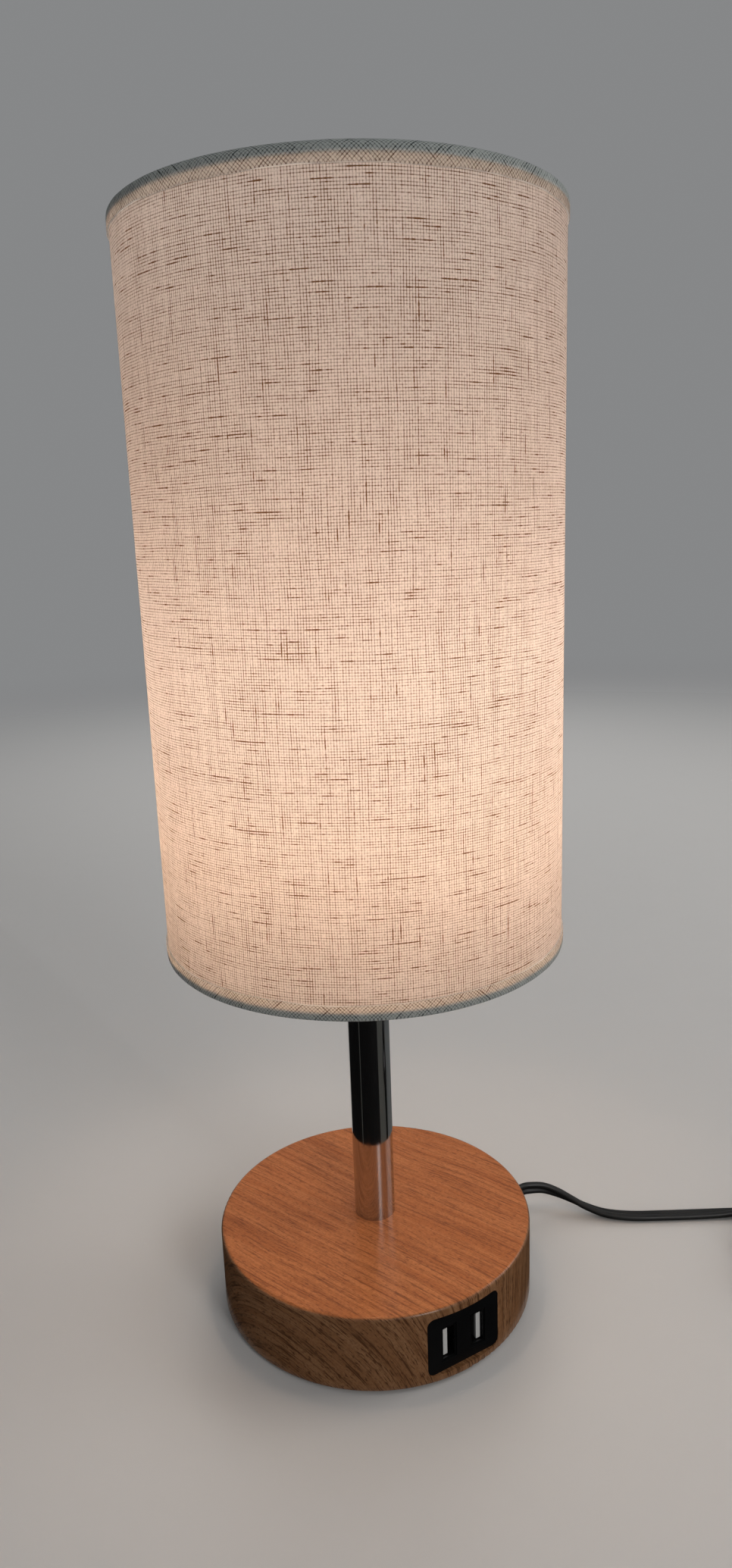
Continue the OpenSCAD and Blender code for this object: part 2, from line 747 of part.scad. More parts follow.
module touch_terminal() {
    color("#c7b06a") difference() {
        union() {
            translate([0, 0, terminal_low]) cylinder(d = terminal_eye_d, h = terminal_t);
            translate([-terminal_tab_w / 2, 0, terminal_low]) cube([terminal_tab_w, barrel_at, terminal_t]);
            translate([0, barrel_at - 0.2, terminal_z - barrel_d / 2 + terminal_t / 2]) rotate([-90, 0, 0])
                cylinder(d = barrel_d, h = barrel_len + 0.2);
        }
        translate([0, 0, terminal_low - 1]) cylinder(d = rod_d + 2 * slip, h = terminal_t + 2);
    }
}

module touch_lead() {
    color("#202020") sweep(touch_route, wire_lead_d, wire_lead_d);
}

module usb_leads() {
    apart = wire_lead_d / 2 + 0.5;
    color("#202020") for (s = [-1, 1]) sweep(usb_route(board_z + s * apart), wire_lead_d, wire_lead_d);
}

module socket_leads() {
    color("#202020") for (s = [-1, 1]) sweep(socket_route(s), wire_lead_d, wire_lead_d, 8, [1, 0, 0]);
}

module inner_cord() {
    color("#151515") sweep(inner_route, cord_w, cord_t);
}

// Cord

module relief_profile() {
    taper_len = relief_out - relief_collar_t;
    rib_step = taper_len / (relief_ribs + 1);
    groove_w = rib_step * 0.4;
    square([relief_d / 2, relief_x - relief_back_x]);
    square([relief_collar_d / 2, relief_lip_t]);
    translate([0, relief_x - relief_back_x]) square([relief_collar_d / 2, relief_collar_t]);
    translate([0, relief_x - relief_back_x + relief_collar_t]) difference() {
        polygon([[0, 0], [relief_d / 2, 0], [relief_tip_d / 2, taper_len], [0, taper_len]]);
        for (k = [1 : relief_ribs]) translate([relief_tip_d / 2 - 0.4, k * rib_step - groove_w / 2])
            square([relief_d, groove_w]);
    }
}

module cord_relief() {
    color("#161616") translate([relief_back_x, 0, cord_z]) rotate([0, 90, 0])
        rotate_extrude() relief_profile();
}

module power_cord() {
    color("#151515") sweep(cord_route, cord_w, cord_t);
}

module cord_coil() {
    color("#151515") sweep(coil_path, cord_w, cord_t, 6);
}

module coil_tie() {
    bundle_w = coil_out_r - coil_in_r + cord_t + 2 * soft_gap + 0.4;
    bundle_h = coil_layer_h + cord_w + 2 * soft_gap;
    corner = 1.2;
    color("#26262a") translate([coil_x, coil_y, tie_t + bundle_h / 2]) rotate(tie_at)
        translate([(coil_in_r + coil_out_r) / 2, 0, 0]) rotate([90, 0, 0])
        linear_extrude(tie_w, center = true) difference() {
            round_rect(bundle_w + 2 * tie_t, bundle_h + 2 * tie_t, corner + tie_t);
            round_rect(bundle_w, bundle_h, corner);
        }
}

// Plan of the plug's body, with its cord end at the origin
module plug_plan() {
    neck_w = cord_w + 6;
    shoulder = plug_len * 0.45;
    polygon([[0, -neck_w / 2], [shoulder, -plug_w / 2], [plug_len, -plug_w / 2], [plug_len, plug_w / 2],
        [shoulder, plug_w / 2], [0, neck_w / 2]]);
}

// Side view of the plug's body
module plug_side() {
    neck_h = cord_t + 5;
    shoulder = plug_len * 0.45;
    edge = 1.2;
    half = plug_t / 2;
    polygon([[0, -neck_h / 2], [shoulder, -half], [plug_len - edge, -half], [plug_len, edge - half],
        [plug_len, half - edge], [plug_len - edge, half], [shoulder, half], [0, neck_h / 2]]);
}

module plug_body() {
    groove = 0.8;
    color("#161616") translate(place(plug_at)) rotate(coil_heading) difference() {
        intersection() {
            translate([0, 0, -plug_t]) linear_extrude(2 * plug_t) plug_plan();
            translate([0, plug_w, 0]) rotate([90, 0, 0]) linear_extrude(2 * plug_w) plug_side();
        }
        for (k = [0 : 3], s = [-1, 1]) translate([plug_len * 0.5 + 2.4 * k, s * plug_w / 2, 0])
            cube([1.2, 2 * groove, plug_t + 1], center = true);
    }
}

module plug_blades() {
    blade_h = [6.35, 7.9];
    hole_d = 3.2;
    bevel = 1.5;
    color("#cdb67a") translate(place(plug_at)) rotate(coil_heading) for (k = [0, 1])
        translate([plug_len, (k - 0.5) * blade_gap, 0]) rotate([90, 0, 0])
        linear_extrude(blade_t, center = true) difference() {
            half = blade_h[k] / 2;
            polygon([[0, -half], [blade_len - bevel, -half], [blade_len, bevel - half],
                [blade_len, half - bevel], [blade_len - bevel, half], [0, half]]);
            translate([blade_len - 4, 0]) circle(d = hole_d);
        }
}

// Pole

module pole_tube() {
    color("#d5d7da") tube(base_top, pole_top, pole_d, pole_in_d);
}

module lower_bush() {
    color("#3a3a3a") tube(base_top, base_top + bush_h, pole_in_d - 2 * fit, rod_hole_d + 2 * fit);
}

module upper_bush() {
    color("#3a3a3a") union() {
        tube(pole_top - bush_h, pole_top, pole_in_d - 2 * fit, rod_hole_d + 2 * fit);
        tube(pole_top, pole_top + bush_flange, pole_d, rod_hole_d + 2 * fit);
    }
}

module threaded_rod() {
    color("#a9a48f") tube(rod_low, rod_top, rod_d, rod_bore);
}

module rod_washer() {
    color("#b5b5b0") tube(washer_low, ceiling_z, washer_d, rod_d + 2 * slip);
}

module rod_nut() {
    corner_d = nut_flats / cos(30);
    color("#b0aa90") translate([0, 0, nut_low]) difference() {
        intersection() {
            cylinder(d = corner_d, h = nut_h, $fn = 6);
            union() {
                cylinder(d1 = nut_flats, d2 = nut_flats + nut_h, h = nut_h / 2);
                translate([0, 0, nut_h / 2]) cylinder(d1 = nut_flats + nut_h, d2 = nut_flats, h = nut_h / 2);
            }
        }
        translate([0, 0, -1]) cylinder(d = rod_hole_d, h = nut_h + 2);
    }
}

// Lamp holder

module socket_cap() {
    r = holder_d / 2;
    foot = holder_foot_d / 2;
    floor_t = 3;
    neck_h = holder_cap_h - spigot_h - 2;
    inside = r - holder_wall;
    color("#17171a") difference() {
        translate([0, 0, holder_z]) rotate_extrude() polygon([
            [0, 0], [foot, 0], [foot + 1, 2], for (k = [0 : 8]) let (f = k / 8)
                [foot + 1 + (r - foot - 1) * sin(90 * f), 3 + (neck_h - 3) * (1 - cos(90 * f))],
            [r, holder_cap_h], [0, holder_cap_h],
        ]);
        translate([0, 0, core_low - fit]) cylinder(r = inside, h = holder_cap_h);
        translate([0, 0, rod_top]) cylinder(r = core_r - 1.2, h = holder_cap_h);
        translate([0, 0, holder_z + floor_t]) difference() {
            cylinder(r = foot - 0.5, h = holder_cap_h);
            translate([0, 0, -1]) cylinder(d = rod_d + 5, h = rod_in_cap - floor_t + 1);
        }
        translate([0, 0, holder_z - 1]) cylinder(d = rod_hole_d, h = holder_cap_h);
    }
}

module socket_skirt() {
    r = holder_d / 2;
    thread_r = holder_thread_d / 2;
    bore = core_r + fit;
    upper_bore = shell_out_r + slip;
    spigot_z = skirt_low - spigot_h + 2 * fit;
    chamfer = 0.6;
    color("#17171a") rotate_extrude() polygon([
        [bore, spigot_z], [spigot_r, spigot_z], [spigot_r, skirt_low],
        [r, skirt_low], [r, shoulder_z - shoulder_t - 2], [shoulder_d / 2, shoulder_z - shoulder_t],
        [shoulder_d / 2, shoulder_z], [thread_r, shoulder_z], [thread_r, skirt_top - chamfer],
        [thread_r - chamfer, skirt_top], [upper_bore, skirt_top],
        [upper_bore, core_top + fit], [bore, core_top + fit],
    ]);
}

module socket_core() {
    color("#e9e4da") difference() {
        translate([0, 0, core_low]) cylinder(r = core_r, h = core_top - core_low);
        translate([0, 0, core_top - well_deep]) cylinder(r = well_r, h = well_deep + 1);
        for (s = [-1, 1]) translate([s * terminal_x, 0, core_low - 1])
            cylinder(d = terminal_shank_d + 2 * fit, h = terminal_shank_h + 1.5);
    }
}

module socket_shell() {
    flange_t = 0.5;
    color("#c9b273") union() {
        tube(core_top, skirt_top - 1, 2 * shell_out_r, screw_bore);
        tube(core_top, core_top + flange_t, 2 * shell_out_r, 2 * well_r);
    }
}

// Bent leaf: flat on the floor of the well, then up to the bulb's tip
module socket_contact() {
    reach = well_r - 1.4;
    rise = bulb_tip_z - 0.15 - (core_top - well_deep);
    t = contact_leaf_t;
    color("#c9a54a") translate([0, contact_leaf_w / 2, core_top - well_deep]) rotate([90, 0, 0])
        linear_extrude(contact_leaf_w) polygon([
            [-reach, 0], [reach, 0], [reach, t], [-reach + 2, t], [-2, rise - t], [3, rise - t], [3, rise],
            [-2.2, rise], [-reach, t + 0.2],
        ]);
}

module terminal_screws() {
    slot_w = 1;
    color("#c9b273") for (s = [-1, 1]) translate([s * terminal_x, 0, core_low]) difference() {
        union() {
            translate([0, 0, -terminal_h]) cylinder(d = terminal_d, h = terminal_h);
            cylinder(d = terminal_shank_d, h = terminal_shank_h);
        }
        translate([-terminal_d, -terminal_d / 2 + 0.6, -terminal_h - 1]) cube([2 * terminal_d, slot_w, 1.8]);
    }
}

// Shade

module shade_ring_nut() {
    color("#1c1c1e") difference() {
        union() {
            translate([0, 0, ring_low]) cylinder(d = ring_flange_d, h = ring_flange_t);
            translate([0, 0, ring_low]) cylinder(d = ring_hub_d, h = ring_h);
        }
        translate([0, 0, ring_low - 1]) cylinder(d = ring_bore_d, h = ring_h + 2);
        for (k = [1 : ring_notch_n]) rotate(360 * k / ring_notch_n)
            translate([ring_flange_d / 2 + notch_d / 4, 0, ring_low - 1])
                cylinder(d = notch_d, h = ring_flange_t + 2);
    }
}

module frame_ring(z) {
    translate([0, 0, z]) rotate_extrude() translate([frame_r, 0]) circle(d = wire_d);
}

module shade_spider() {
    arm_start = (fitter_d + ring_flange_d) / 4 + arm_d / 4;
    color("#d8d8d4") difference() {
        union() {
            frame_ring(frame_z);
            translate([0, 0, frame_z - fitter_t / 2]) cylinder(d = fitter_d, h = fitter_t);
            for (k = [0 : arm_n - 1]) rotate(arm_first + 360 * k / arm_n) translate([arm_start, 0, frame_z])
                rotate([0, 90, 0]) cylinder(d = arm_d, h = frame_r - arm_start);
        }
        translate([0, 0, frame_z - fitter_t]) cylinder(d = fitter_bore, h = 2 * fitter_t);
    }
}

module shade_top_ring() {
    color("#d8d8d4") frame_ring(frame_top_z);
}

module shade_liner() {
    color("#f1ece0") tube(cloth_low, cloth_top, 2 * liner_r, 2 * (liner_r - liner_t));
}

module shade_fabric() {
    color("#e9d9c3") tube(cloth_low, cloth_top, 2 * fabric_r, 2 * (fabric_r - fabric_t));
}

// Section of the lower tape: it wraps the wire and both faces of the drum
module trim_section() {
    w = trim_out_r - trim_in_r;
    difference() {
        translate([trim_in_r, shade_low]) trim_outline(w, trim_corner);
        translate([trim_in_r + trim_t, shade_low + trim_t])
            trim_outline(w - 2 * trim_t, trim_corner - trim_t);
        translate([trim_in_r - 1, shade_low + trim_in_h]) square([1 + w / 2, trim_h]);
    }
}

module trim_outline(w, r) {
    translate([0, r]) square([w, trim_h - r]);
    translate([r, 0]) square([w - 2 * r, trim_h]);
    for (x = [r, w - r]) translate([x, r]) circle(r);
}

module shade_bottom_trim() {
    color("#b9b3ad") difference() {
        rotate_extrude() trim_section();
        for (k = [0 : arm_n - 1]) rotate(arm_first + 360 * k / arm_n) translate([trim_in_r - 1, 0, frame_z])
            rotate([0, 90, 0]) cylinder(d = arm_d + 2 * slip, h = trim_t + 2);
    }
}

module shade_top_trim() {
    color("#b9b3ad") translate([0, 0, shade_low + shade_top]) mirror([0, 0, 1])
        rotate_extrude() trim_section();
}

// Bulb

module bulb_tip() {
    color("#b9b4a4") translate([0, 0, bulb_tip_z]) union() {
        cylinder(d1 = tip_d - 2, d2 = tip_d, h = tip_h / 2);
        translate([0, 0, tip_h / 2]) cylinder(d = tip_d, h = tip_h / 2);
    }
}

module bulb_insulator() {
    color("#141414") translate([0, 0, bulb_tip_z + tip_h])
        cylinder(d1 = glass_low_d, d2 = glass_top_d, h = glass_h);
}

module bulb_cap() {
    r = bulb_cap_d / 2;
    color("#c4c2ba") rotate_extrude() polygon([
        [0, cap_low], [glass_top_d / 2, cap_low], [r, cap_low + cap_cone_h], [r, bulb_rim_z],
        [r - bulb_cap_wall, bulb_rim_z], [r - bulb_cap_wall, cap_low + cap_cone_h], [0, cap_low + cap_cone_h],
    ]);
}

module bulb_housing() {
    steps = 12;
    spigot = bulb_cap_d / 2 - bulb_cap_wall - fit;
    seat_z = led_board_low;
    function neck(f) = neck_d / 2 + (bulb_rim_d / 2 - neck_d / 2) * ease(0.12 + 0.88 * f) - 0.6 * (1 - f);
    color("#efece6") rotate_extrude() polygon([
        [spigot - bulb_wall, bulb_rim_z - plug_in_h], [spigot, bulb_rim_z - plug_in_h], [spigot, bulb_rim_z],
        for (k = [0 : steps]) [neck(k / steps), bulb_rim_z + bulb_neck_h * k / steps],
        [led_board_r + fit, globe_low], [led_board_r + fit, seat_z], [led_board_r - 1.5, seat_z],
        for (k = [steps - 2 : -1 : 1])
            [neck(k / steps) - bulb_wall - 0.8, bulb_rim_z + bulb_neck_h * k / steps - 1],
        [spigot - bulb_wall, bulb_rim_z],
    ]);
}

module bulb_driver() {
    color("#2a6b45") translate([-driver_w / 2, -driver_t / 2, led_board_low - driver_h])
        cube([driver_w, driver_t, driver_h]);
}

module led_board() {
    color("#f2f2ee") translate([0, 0, led_board_low]) cylinder(r = led_board_r, h = led_board_t);
}

module led_chips() {
    color("#f3d46a") for (k = [1 : chip_n]) rotate(360 * k / chip_n)
        translate([chip_ring_r - chip_w / 2, -chip_w / 2, led_board_low + led_board_t])
            cube([chip_w, chip_w, chip_h]);
}

module globe_outline(inset) {
    r = globe_r - inset;
    intersection() {
        translate([0, globe_low]) square([globe_r, bulb_len]);
        union() {
            translate([0, globe_z]) circle(r);
            polygon([[0, globe_low], [bulb_rim_d / 2 - inset, globe_low], [r, globe_z], [0, globe_z]]);
        }
    }
}

module bulb_globe() {
    color("#fff4df") rotate_extrude() difference() {
        globe_outline(0);
        globe_outline(bulb_wall);
    }
}

base_body();
bottom_cover();
cover_screws();
non_slip_pad();
usb_faceplate();
usb_shells();
usb_insulators();
usb_contacts();
charger_board();
board_screws();
charger_transformer();
charger_capacitors();
touch_dimmer();
touch_terminal();
touch_lead();
usb_leads();
socket_leads();
inner_cord();
cord_relief();
power_cord();
cord_coil();
coil_tie();
plug_body();
plug_blades();
pole_tube();
lower_bush();
upper_bush();
threaded_rod();
rod_washer();
rod_nut();
socket_cap();
socket_skirt();
socket_core();
socket_shell();
socket_contact();
terminal_screws();
shade_ring_nut();
shade_spider();
shade_top_ring();
shade_liner();
shade_fabric();
shade_top_trim();
shade_bottom_trim();
bulb_tip();
bulb_insulator();
bulb_cap();
bulb_housing();
bulb_driver();
led_board();
led_chips();
bulb_globe();
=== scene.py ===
import math

import bpy
import bmesh
from mathutils import Matrix, Vector


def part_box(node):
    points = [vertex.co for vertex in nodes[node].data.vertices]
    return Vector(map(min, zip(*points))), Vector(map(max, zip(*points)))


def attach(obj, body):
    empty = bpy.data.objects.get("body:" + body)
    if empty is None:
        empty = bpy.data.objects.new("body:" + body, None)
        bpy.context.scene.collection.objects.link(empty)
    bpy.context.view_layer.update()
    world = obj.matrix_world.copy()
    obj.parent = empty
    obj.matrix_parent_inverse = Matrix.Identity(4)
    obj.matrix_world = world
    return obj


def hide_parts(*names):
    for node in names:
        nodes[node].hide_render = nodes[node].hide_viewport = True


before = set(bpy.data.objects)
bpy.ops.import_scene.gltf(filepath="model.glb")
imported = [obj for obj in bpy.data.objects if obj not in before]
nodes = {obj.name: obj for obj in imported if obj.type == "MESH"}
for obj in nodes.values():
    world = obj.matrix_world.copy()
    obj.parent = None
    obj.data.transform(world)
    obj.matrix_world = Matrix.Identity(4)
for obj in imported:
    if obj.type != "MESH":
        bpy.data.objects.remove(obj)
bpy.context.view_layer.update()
scene = bpy.context.scene
scene.view_settings.view_transform = "Standard"
print("lamp: loaded", len(nodes), "nodes")


# camera, fitted to the outlines of shade, pole and base in the photograph
cameraSet = {
    "place": (-0.1951, -0.33387, 0.30762),
    "turn": -30.668,
    "tilt": 13.65,
    "roll": -2.0415,
    "lens": 24.351,
    "sensor": 36.0,
    "nearest": 0.01,
}


def makeCamera(c):
    data = bpy.data.cameras.new("lampCamera")
    data.sensor_fit = "VERTICAL"
    data.sensor_height = c["sensor"]
    data.lens = c["lens"]
    data.clip_start = c["nearest"]
    camera = bpy.data.objects.new("lampCamera", data)
    scene.collection.objects.link(camera)
    aim = Matrix.Rotation(math.radians(c["turn"]), 4, "Z")
    aim = aim @ Matrix.Rotation(math.radians(90 - c["tilt"]), 4, "X")
    aim = aim @ Matrix.Rotation(math.radians(c["roll"]), 4, "Z")
    camera.matrix_world = Matrix.Translation(c["place"]) @ aim
    scene.camera = camera


makeCamera(cameraSet)


# small helpers for meshes
def newPiece(name, points, faces, smooth=True):
    mesh = bpy.data.meshes.new(name)
    mesh.from_pydata([tuple(p) for p in points], [], faces)
    mesh.polygons.foreach_set("use_smooth", [smooth] * len(mesh.polygons))
    mesh.update()
    piece = bpy.data.objects.new(name, mesh)
    scene.collection.objects.link(piece)
    return piece


def outwards(piece, mergeWithin=1e-6):
    bm = bmesh.new()
    bm.from_mesh(piece.data)
    bmesh.ops.remove_doubles(bm, verts=bm.verts, dist=mergeWithin)
    bmesh.ops.recalc_face_normals(bm, faces=bm.faces)
    bm.to_mesh(piece.data)
    bm.free()


def ease(f):
    f = min(max(f, 0.0), 1.0)
    return f * f * (3 - 2 * f)


# flat twin cord: free stretch across the floor, then the put-away coil and its tail to the plug
cordSet = {
    "width": 0.0056,
    "thick": 0.0028,
    "slack": 0.0006,
    "coilAcross": 0.062,
    "turns": 8,
    "backAfter": 0.25,  # turns past half way where the coil turns back
    "climb": 0.5,  # turns that it takes to get up to the second layer
    "heading": -30.0,
    "coilLow": 0.0039,
    "plugHeight": 0.007,
    "tail": 0.036,
    "ringsPerLoop": 48,
    "stepsPerPoint": 5,
    "tailSteps": 18,
    "lobeSides": 10,
    "grooveHalf": 28.0,  # half angle of the groove between the two cores
    "length": 1.715,
    # x, y, height and roll; a roll of 90 stands the flat cord on its edge
    "route": [
        (0.0749, 0, 0.011, 90),
        (0.0774, 0, 0.011, 90),
        (0.0809, -0.0005, 0.0109, 90),
        (0.0876, -0.003, 0.0099, 80),
        (0.0928, -0.007, 0.0079, 64),
        (0.097, -0.0122, 0.0057, 46),
        (0.1008, -0.018, 0.0037, 28),
        (0.1062, -0.0248, 0.0022, 12),
        (0.1148, -0.032, 0.0016, 2),
        (0.1266, -0.0394, 0.0015, 0),
        (0.1386, -0.0466, 0.0015, 0),
        (0.1506, -0.0536, 0.0017, 10),
        (0.162, -0.0602, 0.0025, 40),
        (0.172, -0.066, 0.0036, 75),
        (0.178, -0.069464, 0.0039, 90),
        (0.184, -0.072928, 0.0039, 90),
    ],
}


def smoothRoute(route, steps):
    points = [Vector(p) for p in route]
    line = []
    for i in range(len(points) - 1):
        a, b = points[max(i - 1, 0)], points[i]
        c, d = points[i + 1], points[min(i + 2, len(points) - 1)]
        for k in range(steps):
            t = k / steps
            line.append(0.5 * (2 * b + (c - a) * t + (2 * a - 5 * b + 4 * c - d) * t ** 2
                               + (3 * b - a - 3 * c + d) * t ** 3))
    return line


def cordPath(c):
    path = smoothRoute(c["route"], c["stepsPerPoint"])
    start = Vector(c["route"][-1])
    path.append(start.copy())
    head = math.radians(c["heading"])
    pitch = c["thick"] + c["slack"]
    layer = c["width"] + c["slack"]
    back = c["turns"] / 2 + c["backAfter"]
    inner = c["coilAcross"] / 2 - pitch * back / 2
    outer = inner + pitch * back
    cx = start[0] + c["width"] * math.cos(head) - outer * math.cos(head + math.pi / 2)
    cy = start[1] + c["width"] * math.sin(head) - outer * math.sin(head + math.pi / 2)
    # the coil spirals in, then back out in a second layer on top
    for k in range(c["ringsPerLoop"] * c["turns"] + 1):
        turn = k / c["ringsPerLoop"]
        angle = head + math.pi / 2 - 2 * math.pi * turn
        r = inner + pitch * abs(turn - back)
        z = c["coilLow"] + layer * ease((turn - back) / c["climb"] + 0.5)
        path.append(Vector((cx + r * math.cos(angle), cy + r * math.sin(angle), z, 90)))
    last = path[-1].copy()
    for k in range(1, c["tailSteps"] + 1):
        f = k / c["tailSteps"]
        run = f * c["tail"]
        lie = ease((run - c["width"]) / (c["tail"] - 2 * c["width"]))
        path.append(Vector((last[0] + run * math.cos(head), last[1] + run * math.sin(head),
                            last[2] + (c["plugHeight"] - last[2]) * lie, 90 * (1 - lie))))
    return path


def twinProfile(c):
    r = c["thick"] / 2
    shift = (c["width"] - c["thick"]) / 2
    groove = math.radians(c["grooveHalf"])
    swing = 2 * math.pi - 2 * groove
    angles = [-math.pi + groove + k * swing / c["lobeSides"] for k in range(c["lobeSides"] + 1)]
    right = [(shift + r * math.cos(a), r * math.sin(a)) for a in angles]
    left = [(-x, -y) for x, y in right]
    return right + left


def sweepProfile(name, path, profile):
    points, faces = [], []
    n = len(profile)
    spots = [Vector(p[:3]) for p in path]
    for i, spot in enumerate(spots):
        way = (spots[min(i + 1, len(spots) - 1)] - spots[max(i - 1, 0)]).normalized()
        side = way.cross(Vector((0, 0, 1))).normalized()
        up = side.cross(way)
        roll = math.radians(path[i][3])
        for x, y in profile:
            points.append(spot + side * (x * math.cos(roll) - y * math.sin(roll))
                          + up * (x * math.sin(roll) + y * math.cos(roll)))
    for i in range(len(spots) - 1):
        for k in range(n):
            j = (k + 1) % n
            faces.append((i * n + k, i * n + j, (i + 1) * n + j, (i + 1) * n + k))
    faces.append(tuple(range(n - 1, -1, -1)))
    faces.append(tuple((len(spots) - 1) * n + k for k in range(n)))
    piece = newPiece(name, points, faces)
    outwards(piece)
    return piece


cordLine = cordPath(cordSet)
lampCord = sweepProfile("lampCord", cordLine, twinProfile(cordSet))
cordRun = sum((Vector(b[:3]) - Vector(a[:3])).length for a, b in zip(cordLine, cordLine[1:]))
print("lamp: cord of", round(cordRun, 3), "m")


# node helpers for the finishes
def startFinish(name):
    finish = bpy.data.materials.new(name)
    finish.use_nodes = True
    finish.node_tree.nodes.clear()
    return finish, finish.node_tree


def put(tree, kind, sockets=None, **settings):
    n = tree.nodes.new(kind)
    for key, value in settings.items():
        setattr(n, key, value)
    for key, value in (sockets or {}).items():
        if isinstance(value, bpy.types.NodeSocket):
            tree.links.new(value, n.inputs[key])
        else:
            n.inputs[key].default_value = value
    return n


def calc(tree, operation, *values):
    sockets = {i: v for i, v in enumerate(values)}
    return put(tree, "ShaderNodeMath", sockets, operation=operation).outputs[0]


def ramp(tree, value, low, high, lowOut=0.0, highOut=1.0):
    return put(tree, "ShaderNodeMapRange", {0: value, 1: low, 2: high, 3: lowOut, 4: highOut},
               interpolation_type="SMOOTHSTEP").outputs[0]


def blendColour(tree, share, first, second, kind="MIX"):
    n = put(tree, "ShaderNodeMix", {0: share, 6: first, 7: second}, data_type="RGBA", blend_type=kind)
    return n.outputs[2]


def noiseOf(tree, vector, scale, detail=2.0, rough=0.5, dims="3D"):
    sockets = {"Vector": vector, "Scale": scale, "Detail": detail, "Roughness": rough}
    return put(tree, "ShaderNodeTexNoise", sockets, noise_dimensions=dims).outputs[0]


def joinVector(tree, x, y, z=0.0):
    return put(tree, "ShaderNodeCombineXYZ", {0: x, 1: y, 2: z}).outputs[0]


def objectPoint(tree):
    return put(tree, "ShaderNodeTexCoord").outputs["Object"]


def rgb(r, g, b):
    return (r, g, b, 1.0)


def closeFinish(tree, shader):
    put(tree, "ShaderNodeOutputMaterial", {"Surface": shader})


def mixShaders(tree, share, first, second):
    sockets = {0: share, 1: first.outputs[0], 2: second.outputs[0]}
    return put(tree, "ShaderNodeMixShader", sockets).outputs[0]


def bumpOf(tree, height, strength, depth):
    sockets = {"Strength": strength, "Distance": depth, "Height": height}
    return put(tree, "ShaderNodeBump", sockets).outputs[0]


def inMm(tree, length):
    return calc(tree, "MULTIPLY", length, 1000.0)


def axisDistance(tree, x, y):
    squares = [calc(tree, "MULTIPLY", side, side) for side in (x, y)]
    return calc(tree, "SQRT", calc(tree, "ADD", *squares))


# plain mouldings, castings and plated pieces: a little mottle, uneven polish and fine texture
plainSet = {"clouds": 70.0, "uneven": 0.15, "bumpDepth": 0.0002}


def plainFinish(name, colour, roughness=0.45, metallic=0.0, grain=900.0, bump=0.05, mottle=0.12, gloss=0.5):
    finish, tree = startFinish(name)
    point = objectPoint(tree)
    cloudy = noiseOf(tree, point, plainSet["clouds"], 3.0)
    fine = noiseOf(tree, point, grain)
    dark = rgb(*[c * (1 - mottle) for c in colour])
    light = rgb(*[min(c * (1 + mottle), 1.0) for c in colour])
    smoothest = roughness * (1 - plainSet["uneven"])
    roughest = min(roughness * (1 + plainSet["uneven"]), 1.0)
    surface = put(tree, "ShaderNodeBsdfPrincipled", {
        "Base Color": blendColour(tree, cloudy, dark, light),
        "Roughness": ramp(tree, cloudy, 0.3, 0.7, smoothest, roughest), "Metallic": metallic,
        "Normal": bumpOf(tree, fine, bump, plainSet["bumpDepth"]), "Specular IOR Level": gloss})
    closeFinish(tree, surface.outputs[0])
    return finish


# wood-grain wrap: the grain runs across the top and carries on down the side
woodSet = {
    "grainTurn": 70.0,
    "top": 0.0322,
    # the film's wood colours, made redder than its own: painted warm light from the bulb on the top
    "light": (0.52, 0.180, 0.057),
    "mid": (0.43, 0.135, 0.038),
    "dark": (0.165, 0.046, 0.011),
    # the film is stretched where it is drawn down the side, with deeper strokes there; the side is also
    # made darker and greyer than the top, which is painted shade
    "drawn": 0.68,
    "sideFade": (0.03, 0.7),
    "sidePaintedShade": (0.47, 0.68, 1.0),
    "sideDepth": 1.7,
    "heart": 0.01,  # least radius that the drawing is worked out for
    # marks per millimetre along and across the grain, then the noise's detail and roughness
    "sway": (0.009, 0.016, 2.0, 0.5),
    "streak": (0.012, 0.30, 4.0, 0.62),
    "lines": (0.016, 0.75, 2.0, 0.5),
    "vessels": (0.06, 1.4, 2.0, 0.5),
    "pores": (0.36, 2.1, 1.0, 0.5),
    "swayWide": 8.0,
    # noise levels between which each of these fades in
    "lightFade": (0.34, 0.66),
    "crowdFade": (0.42, 0.66),
    "speckFade": (0.38, 0.70),
    "hollowFade": (0.58, 0.76),
    # noise level where a stroke starts and is full, and how dark it gets
    "vesselStroke": (0.56, 0.78, 0.58),
    "poreStroke": (0.58, 0.78, 0.56),
    "crowdTone": 0.18,
    "crowdStrokes": 0.10,
    "specks": 1200.0,
    "speckDepth": 0.26,
    "speckHeight": 0.35,
    "bump": (0.12, 0.0002),
    "polish": (0.3, 0.7, 0.46, 0.36),  # levels of the streaks, then roughness
    "gloss": 0.14,
    "coat": 0.42,
    "coatRoughness": 0.22,
}


def grainNoise(tree, along, across, pattern):
    perAlong, perAcross, detail, rough = pattern
    spot = joinVector(tree, calc(tree, "MULTIPLY", along, perAlong),
                      calc(tree, "MULTIPLY", across, perAcross))
    return noiseOf(tree, spot, 1.0, detail, rough, "2D")


